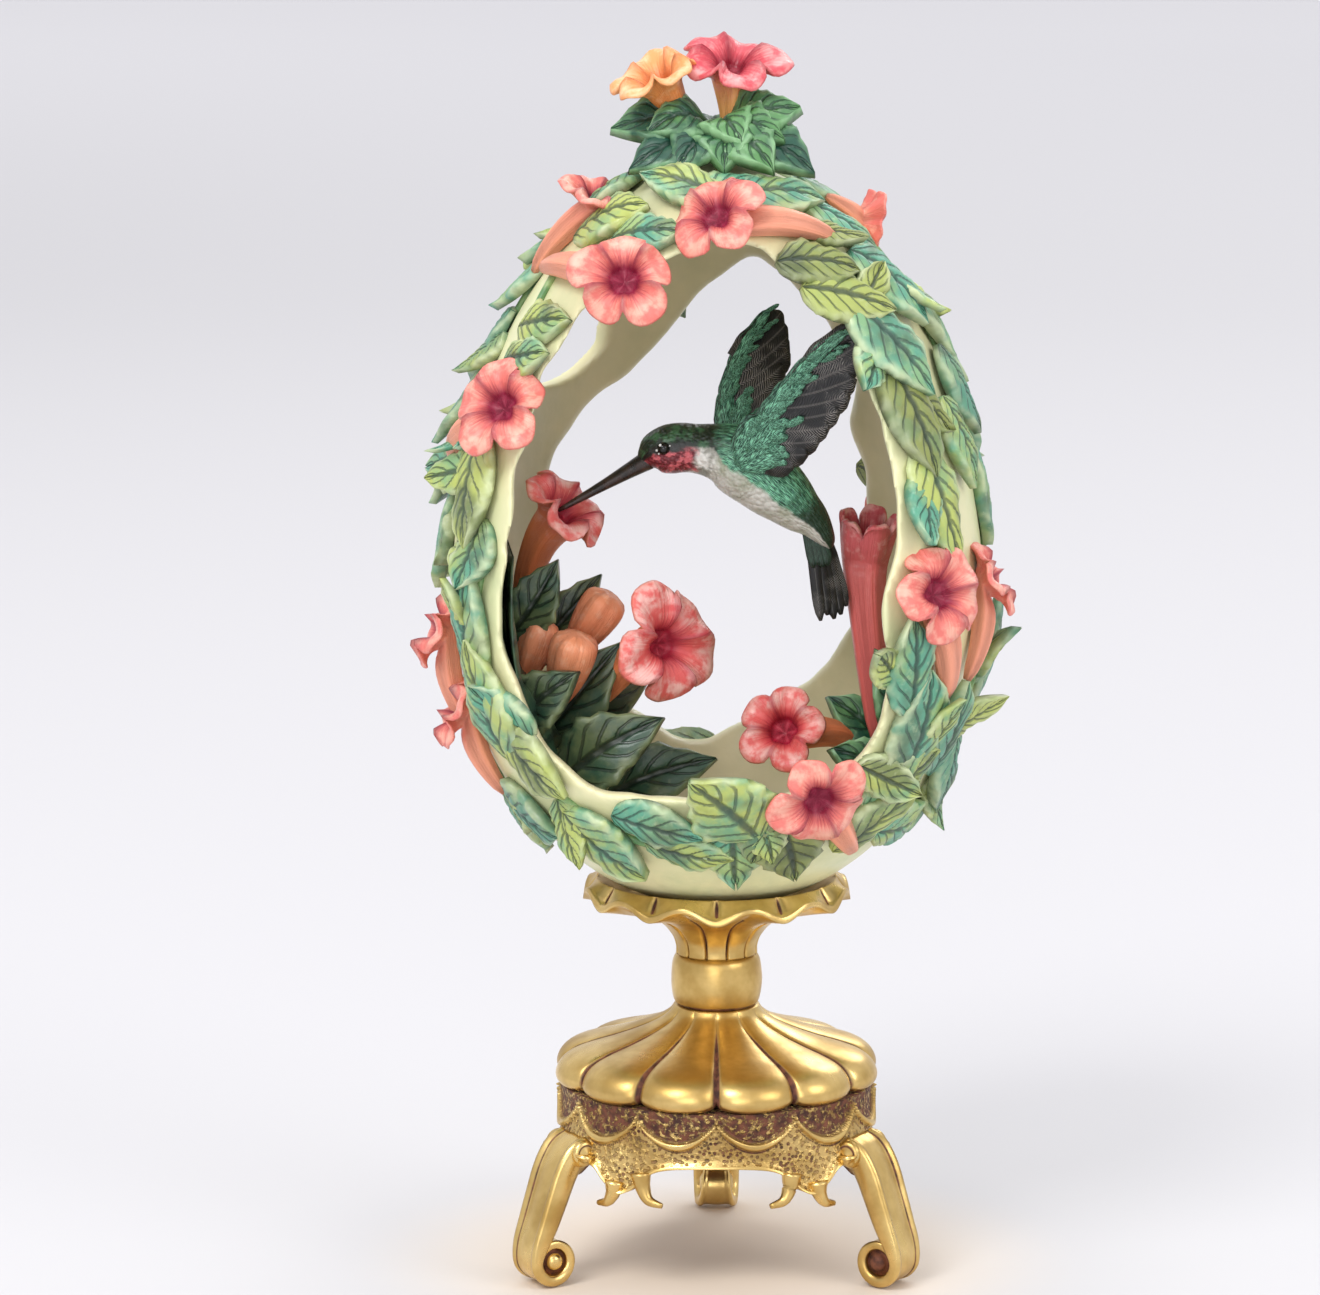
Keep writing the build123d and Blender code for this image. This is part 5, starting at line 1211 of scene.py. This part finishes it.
def build_bird():
    rows = []
    path = smooth_path([bird_point(s[0], s[1]) for s in BODY_STATIONS], 4)
    sizes = smooth_path([Vector((s[2], s[3], s[0])) for s in BODY_STATIONS], 4)
    for index, (centre, size) in enumerate(zip(path, sizes)):
        ahead = path[min(index + 1, len(path) - 1)] - path[max(index - 1, 0)]
        upward = Vector((0, 1, 0)).cross(ahead).normalized()
        if upward.z < 0:
            upward = -upward
        row = []
        for turn in range(BIRD_TURNS):
            angle = 2 * math.pi * turn / BIRD_TURNS
            tall = math.cos(angle)
            wide = math.sin(angle)
            point = centre + upward * (tall * size.x * BIRD_LENGTH) + Vector((0, wide * size.y * BIRD_LENGTH, 0))
            row.append((point, ((size.z - 0.245) / 0.69, 0.5 + tall / 2, 0.5 + wide / 2, 1)))
        rows.append(row)
    sheet = Sheet()
    sheet.rows(rows)
    piece("bird_body_painted", sheet, bird_look, "egg", ["bird_body"])
    sheet = Sheet()
    beak = [bird_point(0.27, 0.152), bird_point(0.2, 0.112), bird_point(0.1, 0.054), bird_point(-0.06, -0.036)]
    tube(sheet, smooth_path(beak, 6), lambda t: BIRD_LENGTH * (0.03 * (1 - t) ** 0.8 + 0.007), 14)
    piece("bird_beak_painted", sheet, beak_look, "egg", ["bird_beak"])
    build_wing("near_wing", NEAR_PRIMARIES, NEAR_COVERTS, (0.58, 0.13), (-0.25, -0.3), -0.1)
    build_wing("far_wing", FAR_PRIMARIES, FAR_COVERTS, (0.53, 0.19), (0.15, 0.42), 0.06)
    sheet = Sheet()
    face = Vector((0, -1, 0))
    for index, (root, tip, width) in enumerate(TAIL_FEATHERS):
        layer = 0.006 * (index - 2)
        add_feather(sheet, bird_point(*root, layer), bird_point(*tip, layer), BIRD_LENGTH * width, face, 0, 1)
        if index < 4:
            upper = root[0] + 0.35 * (tip[0] - root[0]), root[1] + 0.42 * (tip[1] - root[1])
            add_feather(sheet, bird_point(root[0] - 0.02, root[1] + 0.05, -0.02), bird_point(*upper, -0.015),
                        BIRD_LENGTH * width * 0.9, face, 0.9, 0.5)
    piece("bird_tail_feathers", sheet, feather_look, "egg", ["bird_tail"])
    eyes = Sheet()
    glints = Sheet()
    for side in (-1, 1):
        seat = bird_point(0.325, 0.205, side * 0.078)
        out = Vector((-0.3, side, 0.25)).normalized()
        add_ball(eyes, seat, out, EYE_RADIUS)
        for across, high, size in GLINTS:
            proud = 0.74 - 0.45 * math.hypot(across, high)
            add_ball(glints, seat + out * proud * MM + Vector((across, 0, high)) * MM, out, size * MM)
    piece("bird_eyes_glossy", eyes, eye_look, "egg", ["bird_eyes"])
    piece("bird_eye_glints", glints, glint_look, "egg")


# Stand

# How many points go round each turned piece
PETAL_SIDES = 288
COLLAR_SIDES = 96
APRON_SIDES = 432
SCROLL_TURNS = 32
EAR_TURNS = 28


def lathe(sheet, stations, sides, form):
    """Rings at stations. form gives radius, level and mark for an azimuth and a station."""
    rows = []
    for station in stations:
        row = []
        for side in range(sides):
            azimuth = 360 * side / sides
            radius, level, mark = form(azimuth, station)
            row.append((polar(radius, azimuth, level), mark))
        rows.append(row)
    sheet.rows(rows)


def flute_wave(azimuth, shift=0.0):
    """1 in the middle of a lobe, 0 in the groove between two."""
    return abs(math.sin(math.radians((azimuth - shift) * FLUTES / 2)))


# Skirt: share of the height from the top, radius in mm, how far the lobes stand out
SKIRT_STATIONS = (
    (0, 5.5, 0), (0.1, 6.3, 0.15), (0.2, 7.9, 0.35), (0.31, 10.6, 0.55), (0.41, 13.8, 0.75), (0.49, 16.8, 0.9),
    (0.56, 18.9, 1), (0.64, 20.2, 1), (0.74, 21.0, 1), (0.86, 21.3, 1), (0.95, 20.9, 0.95), (1, 20.1, 0.8),
)


def build_skirt():
    height = skirt_high.z - skirt_low.z

    def outer(azimuth, station):
        share, depth = station
        radius, stands = blend(SKIRT_STATIONS, share)
        wave = flute_wave(azimuth)
        pillow = wave**0.42
        groove = math.exp(-(wave / 0.17) ** 2)
        reach = radius - stands * 2.0 * (1 - pillow) - depth
        droop = 0.9 * (1 - pillow) * max(0, share - 0.8) * 5
        level = skirt_high.z - height * share + droop * MM + 0.35 * MM * stands * (pillow - 0.7) * (1 - share)
        patina = min(1, groove * min(1, stands * 1.6) + (0.7 if share > 0.985 else 0))
        return reach * MM, level, (patina, 0, 0.5, 0)

    stations = [(step / 60, 0) for step in range(61)]
    stations += [(1, 1.2), (0.9, 1.9), (0.6, 1.9), (0.45, 1.9)]
    sheet = Sheet()
    lathe(sheet, stations, PETAL_SIDES, outer)
    piece("skirt_fluted", sheet, gilt_look, "stand", ["skirt"])


def build_collar():
    height = collar_high.z - collar_low.z
    stations = [step / 20 for step in range(21)]

    def form(azimuth, share):
        swell = math.sin(math.pi * min(max((share - 0.02) / 0.96, 0), 1)) ** 0.35
        dent = 0.06 * noise.noise(polar(1, azimuth, share * 3)) * swell
        edge = 1 if share < 0.06 or share > 0.96 else 0
        return (5.0 + 0.9 * swell + dent) * MM, collar_low.z + height * share, (0.62 * edge, 0, 0.5, 0)

    sheet = Sheet()
    lathe(sheet, stations, COLLAR_SIDES, form)
    piece("collar_cushioned", sheet, gilt_look, "stand", ["collar"])


# Cup: share of its height, radius in mm at a flute's middle, depth of the groove beside it,
# drop of the petal's middle
CUP_STATIONS = (
    (0, 5.3, 0.5, 0), (0.1, 5.3, 0.7, 0), (0.25, 5.9, 0.9, 0), (0.42, 7.6, 1.0, 0),
    (0.56, 10.6, 1.1, 0.2), (0.68, 14.0, 0.9, 0.6), (0.78, 16.4, 0.4, 1.2), (0.84, 17.35, 0, 1.7),
)


def build_cup():
    height = cup_high.z - cup_low.z

    def form(azimuth, station):
        part, share = station
        middle = (0.5 + 0.5 * math.cos(math.radians(azimuth * FLUTES))) ** 1.2
        if part == "outside":
            radius, groove, drop = blend(CUP_STATIONS, share)
            edge = math.exp(-(flute_wave(azimuth, 15) / 0.16) ** 2)
            reach = radius - groove * edge
            patina = edge * min(1, groove * 1.3) * (1 if share < 0.66 else 0.4)
            level = cup_low.z + height * share - drop * middle * MM
            return reach * MM, level, (patina, 0, 0.5, 0)
        if part == "rim":
            reach = 17.3 - 0.25 * share + 0.1
            level = cup_low.z + height * (0.84 + 0.06 * share) - 1.7 * middle * MM * (1 - 0.15 * share)
            return reach * MM, level, (0, 0, 0.5, 0)
        if part == "top":
            radius = 17.0 - 1.5 * share
            slit = math.exp(-(flute_wave(azimuth) / 0.14) ** 2) * math.sin(math.pi * min(1, 0.25 + share * 0.6))
            low = cup_low.z + height * 0.9 - 1.45 * middle * MM * (1 - share)
            level = low + (cup_high.z - 0.25 * MM - (cup_low.z + height * 0.9)) * share
            return (radius - 0.6 * slit) * MM, level, (slit, 0, 0.5, 0)
        radius = 15.4 - 3.5 * share
        return radius * MM, cup_high.z - 0.3 * MM - 3.4 * MM * share**1.4, (0.1, 0, 0.5, 0)

    stations = [("outside", 0.84 * step / 40) for step in range(41)]
    stations += [("rim", step / 3) for step in range(1, 4)]
    stations += [("top", step / 10) for step in range(1, 11)]
    stations += [("seat", step / 5) for step in range(0, 6)]
    sheet = Sheet()
    lathe(sheet, stations, PETAL_SIDES, form)
    piece("cup_petals", sheet, gilt_look, "stand", ["cup"])


APRON_RADIUS = 20.3
APRON_CORNER = 24.0
APRON_SIDE = 18.6
# Lower edge of a side: share along from the middle to a leg, and how high it hangs in mm
APRON_EDGE = (
    (0, 5.9), (0.2, 5.8), (0.36, 5.4), (0.46, 4.4), (0.55, 2.6), (0.62, 2.2), (0.7, 3.6),
    (0.78, 5.2), (0.86, 5.2), (0.94, 3.4), (1, 3.0),
)


def apron_outline(azimuth, share):
    """Radius of the apron in mm at a share of its drop."""
    corner = (0.5 - 0.5 * math.cos(math.radians(3 * azimuth))) ** 1.4
    soft = APRON_SIDE + (APRON_CORNER - APRON_SIDE) * corner
    turned = blend(((0, 0), (0.14, 0.02), (0.5, 0.5), (1, 1)), share)[0]
    belly = 0.5 * math.sin(math.pi * share)
    return APRON_RADIUS + (soft - APRON_RADIUS) * turned - belly


def build_apron():
    top = apron_high.z
    drop = top - apron_low.z

    def low_level(azimuth):
        turn = abs((azimuth + 60) % 120 - 60) / 60
        return apron_low.z + blend(APRON_EDGE, min(1, turn * 1.02))[0] * MM

    def form(azimuth, station):
        part, share = station
        low = low_level(azimuth)
        level = top - (top - low) * share
        drop_share = (top - level) / drop
        radius = apron_outline(azimuth, drop_share)
        wave = flute_wave(azimuth)
        swag = 0.07 + 0.27 * wave**0.75
        off = abs(drop_share - swag)
        bead = math.exp(-(off / (0.018 + 0.022 * wave)) ** 4)
        rim = math.exp(-((level - low) / (0.7 * MM)) ** 2)
        ground = 1 - min(1, bead * 1.6 + rim * 1.4)
        above = 1 if drop_share < swag else 0.25
        bulge = 0.7 * bead + 0.6 * rim
        patina = 0.75 * math.exp(-((off - 0.06) / 0.016) ** 2) if off > 0.03 else 0
        if part == "inside":
            return (radius - 1.4) * MM, level, (0.8, 0, 0.5, 0)
        return (radius + bulge) * MM, level, (patina, above, 0.5, ground)

    stations = [("outside", step / 90) for step in range(91)]
    stations += [("inside", 1 - step / 6) for step in range(0, 6)]
    sheet = Sheet()
    lathe(sheet, stations, APRON_SIDES, form)
    add_pendants(sheet, low_level)
    piece("apron_stippled", sheet, gilt_stipple_look, "stand", ["apron"])


def add_pendants(sheet, low_level):
    """Small curled hooks that hang from the apron beside each leg."""
    for side in range(3):
        for way in (-1, 1):
            for azimuth, reach, fall in ((29, -9, 3.6), (38, 7, 3.0), (49, 4, 1.2)):
                here = side * 120 + way * azimuth
                level = low_level(here) + 1.2 * MM
                radius = (apron_outline(here, 0.8) - 0.2) * MM
                path = [
                    polar(radius, here, level),
                    polar(radius, here + way * reach * 0.1, level - fall * 0.5 * MM),
                    polar(radius + 0.2 * MM, here + way * reach * 0.4, level - fall * 0.95 * MM),
                    polar(radius + 0.3 * MM, here + way * reach, level - fall * 1.1 * MM),
                ]
                tube(sheet, smooth_path(path, 6), lambda t: (1.35 - t) * MM, 14, (0, 0, 0.5, 0))


# Leg profile in the plane of its azimuth, in mm: reach, level, half thickness
LEG_PATH = (
    (20.6, 18.6, 1.1), (22.3, 17.3, 1.5), (23.8, 14.8, 1.55), (25.1, 11.4, 1.45), (26.3, 8.2, 1.3), (27.4, 5.6, 1.05),
)
# Round the section of a leg, from the outer face with its two raised edges to the inner face:
# share of the half width, share of the half thickness and patina
LEG_SECTION = (
    (-1, 0.2, 0), (-1, 0.8, 0), (-0.9, 1.12, 0), (-0.76, 1.1, 0.1), (-0.66, 0.82, 0.75), (-0.5, 0.78, 0.15),
    (-0.25, 0.86, 0), (0, 0.9, 0), (0.25, 0.86, 0), (0.5, 0.78, 0.15), (0.66, 0.82, 0.75), (0.76, 1.1, 0.1),
    (0.9, 1.12, 0), (1, 0.8, 0), (1, 0.2, 0), (1, -0.6, 0.1), (0.85, -1, 0.2), (0.4, -1.05, 0.1),
    (0, -1.05, 0.1), (-0.4, -1.05, 0.1), (-0.85, -1, 0.2), (-1, -0.6, 0.1),
)
SCROLL_CENTRE = (25.3, 3.4)
SCROLL_STEPS = 12
# Rings of the volute button at the top of a leg: radius, rise and patina
EAR_RINGS = ((1.6, -0.8, 0.2), (1.75, 0, 0), (1.5, 0.45, 0), (1.1, 0.5, 0.8), (0.75, 0.5, 0.3), (0.3, 0.75, 0))


def add_button(sheet, centre, axis, out, rings, turns):
    """A round button on the side of a leg."""
    sheet.rows([circle(centre + axis * (rise * MM), out, UP, radius * MM, turns, (patina, 0, 0.5, 0))
                for radius, rise, patina in rings])


def build_leg(node, azimuth, slim, dark_scroll_middle):
    out = polar(1, azimuth, 0)
    across = polar(1, azimuth + 90, 0)
    stations = [Vector(station) for station in LEG_PATH]
    for step in range(SCROLL_STEPS):
        angle = math.radians(-8 + 30 * step)
        radius = 2.62 - 0.05 * step
        stations.append(Vector((SCROLL_CENTRE[0] + radius * math.cos(angle),
                                SCROLL_CENTRE[1] - radius * math.sin(angle), 0.78 - 0.026 * step)))
    path = smooth_path(stations, 5)
    last = len(path) - 1
    rows = []
    for index, station in enumerate(path):
        before = path[max(index - 1, 0)]
        after = path[min(index + 1, last)]
        tangent = Vector((after.x - before.x, after.y - before.y)).normalized()
        normal = Vector((-tangent.y, tangent.x))
        t = index / last
        worn = 1 if t < 0.6 else 0.5
        width = blend(((0, 3.5), (0.3, 3.1), (0.5, 2.9), (0.7, 2.5 * (1 + slim) / 2), (1, 2.4 * slim)), t)[0]
        row = []
        for sideways, proud, patina in LEG_SECTION:
            flat = Vector((station.x, station.y)) + normal * (station.z * proud)
            point = out * (flat.x * MM) + across * (width * sideways * MM) + UP * (max(flat.y, 0) * MM)
            row.append((point, (patina * worn, 0, 0.5, 0)))
        rows.append(row)
    sheet = Sheet()
    sheet.rows(rows)
    scroll = out * (SCROLL_CENTRE[0] * MM) + UP * (SCROLL_CENTRE[1] * MM)
    # The last argument darkens the two middle rings of the scroll buttons; only the front right leg is given any.
    scroll_rings = ((2.4, 0.6, 1), (2.3, 1.85, 1), (1.2, 1.85, 1), (1.15, 2.15, 0.8), (0.95, 2.6, dark_scroll_middle),
                    (0.4, 2.9, dark_scroll_middle))
    for side in (-1, 1):
        add_button(sheet, scroll, across * (side * slim), out, scroll_rings, SCROLL_TURNS)
        if node == "rear_leg" and side == 1:
            add_ball(sheet, scroll, across, 2.3 * MM)
        ear = out * (21.6 * MM) + UP * (17.6 * MM) + across * (side * 3.6 * MM)
        add_button(sheet, ear, across * side, out, EAR_RINGS, EAR_TURNS)
    piece(node + "_scrolled", sheet, gilt_look, "stand", [node])


def build_stand():
    build_cup()
    build_collar()
    build_skirt()
    build_apron()
    build_leg("front_left_leg", -60, 1, 0)
    build_leg("front_right_leg", 60, 1, 0.8)
    build_leg("rear_leg", 180, 0.62, 0)
    for node in ("centre_screw", "screw_washer"):
        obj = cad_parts[node]
        obj.data.materials.clear()
        obj.data.materials.append(steel_look)


# Vine stems on the shell: azimuth and height share of the points they pass
VINES = (
    ((-70, 0.86), (-66, 0.78), (-60, 0.74), (-68, 0.62), (-60, 0.5), (-63, 0.4), (-56, 0.27), (-44, 0.19),
     (-20, 0.13), (10, 0.14), (34, 0.15)),
    ((30, 0.95), (48, 0.88), (56, 0.8), (54, 0.7), (60, 0.6), (56, 0.5), (60, 0.38), (58, 0.26), (50, 0.17)),
    ((96, 0.9), (90, 0.8), (84, 0.68), (92, 0.55), (86, 0.42), (80, 0.3), (84, 0.18)),
    ((-100, 0.9), (-96, 0.78), (-104, 0.66), (-98, 0.54), (-106, 0.42), (-100, 0.28), (-92, 0.16)),
    ((124, 0.9), (120, 0.76), (126, 0.62), (122, 0.48), (126, 0.34), (118, 0.2)),
    ((-150, 0.9), (-124, 0.88), (-112, 0.76), (-122, 0.56), (-126, 0.4), (-128, 0.26), (-150, 0.15), (180, 0.12),
     (150, 0.14)),
)
VINE_PROUD = 0.25 * MM
VINE_RADIUS = 0.5 * MM


def build_vines():
    sheet = Sheet()
    for vine in VINES:
        path = smooth_path([on_egg(azimuth, share, VINE_PROUD) for azimuth, share in vine], 10)
        tube(sheet, [settled(point, VINE_PROUD) for point in path], lambda t: VINE_RADIUS, 8)
    piece("vine_stems", sheet, stem_look, "egg")


build_shell()
build_relief_leaves()
build_relief_flowers()
build_vines()
build_crown()
build_sprays()
build_bird()
build_stand()


# Floor, light and camera

FLOOR_REACH = 14
SKY_LOW = tint(228, 226, 224)
SKY_HIGH = tint(250, 250, 255)
SKY_STRENGTH = 0.92
# Each lamp: place, the point it faces, size and power
LAMPS = {
    "key": ((-0.6, -0.9, 1.2), (0, 0, 0.08), 0.7, 11),
    "fill": ((1.0, -0.7, 0.7), (0, 0, 0.08), 0.7, 4),
    "top": ((0, 0.2, 1.5), (0, 0, 0.08), 0.9, 6),
    "rear": ((0.5, 1.2, 0.9), (0, 0, 0.1), 0.6, 3),
    "low": ((-0.1, -1.1, 0.3), (0, 0, 0.05), 0.6, 2.2),
}
CAMERA_PLACE = (0, -0.8, 0.223)
CAMERA_LENS = 172.07
CAMERA_SENSOR = 36
CAMERA_DIP = 0.175547
CAMERA_TURN = 0.0091923


def stage_paint():
    """Pale ground, warmer where the gilt stand throws its light and paler far behind."""
    paint = Paint("floor_paint", 0.6)
    place = paint.place()
    parts = paint.node("ShaderNodeSeparateXYZ")
    paint.put(parts.inputs[0], place)
    reach = paint.node("ShaderNodeVectorMath", operation="LENGTH")
    paint.put(reach.inputs[0], place)
    dim = paint.fade(parts.outputs[1], 0.4, 1.1)
    near = paint.mix(dim, tint(204, 203, 205), tint(200, 199, 201))
    warm = paint.fade(reach.outputs["Value"], 0.05, 0.012)
    near = paint.mix(warm, near, tint(238, 222, 203))
    far = paint.fade(parts.outputs[1], 0.95, 2.1)
    paint.colour(paint.mix(far, near, tint(232, 231, 233)))
    paint.shader.inputs["Specular IOR Level"].default_value = 0.1
    return paint.material


def build_floor():
    sheet = Sheet()
    sheet.rows([[(Vector((x, y, 0)), PLAIN_MARK) for x in (-FLOOR_REACH, FLOOR_REACH)]
                for y in (-FLOOR_REACH, FLOOR_REACH)], closed=False)
    floor = bare("floor", sheet)
    floor.data.materials.append(stage_paint())


def build_sky():
    world = bpy.data.worlds.new("studio")
    bpy.context.scene.world = world
    world.use_nodes = True
    tree = world.node_tree
    background = tree.nodes["Background"]
    coordinates = tree.nodes.new("ShaderNodeTexCoord")
    parts = tree.nodes.new("ShaderNodeSeparateXYZ")
    ramp = tree.nodes.new("ShaderNodeValToRGB")
    tree.links.new(coordinates.outputs["Generated"], parts.inputs[0])
    tree.links.new(parts.outputs["Z"], ramp.inputs["Fac"])
    tree.links.new(ramp.outputs["Color"], background.inputs["Color"])
    for element, position, colour in zip(ramp.color_ramp.elements, (0.0, 0.55), (SKY_LOW, SKY_HIGH)):
        element.position = position
        element.color = colour
    background.inputs["Strength"].default_value = SKY_STRENGTH


def build_lamps():
    for name, (place, target, size, power) in LAMPS.items():
        light = bpy.data.lights.new(name, "AREA")
        light.shape = "DISK"
        light.size = size
        light.energy = power
        lamp = bpy.data.objects.new(name, light)
        lamp.location = place
        lamp.rotation_euler = (Vector(target) - Vector(place)).to_track_quat("-Z", "Y").to_euler()
        bpy.context.scene.collection.objects.link(lamp)


def build_camera():
    lens = bpy.data.cameras.new("camera")
    lens.lens = CAMERA_LENS
    lens.sensor_width = CAMERA_SENSOR
    camera = bpy.data.objects.new("camera", lens)
    camera.location = CAMERA_PLACE
    camera.rotation_euler = (math.pi / 2 - CAMERA_DIP, 0, CAMERA_TURN)
    bpy.context.scene.collection.objects.link(camera)
    bpy.context.scene.camera = camera
    bpy.context.scene.view_settings.view_transform = "Standard"


build_floor()
build_sky()
build_lamps()
build_camera()
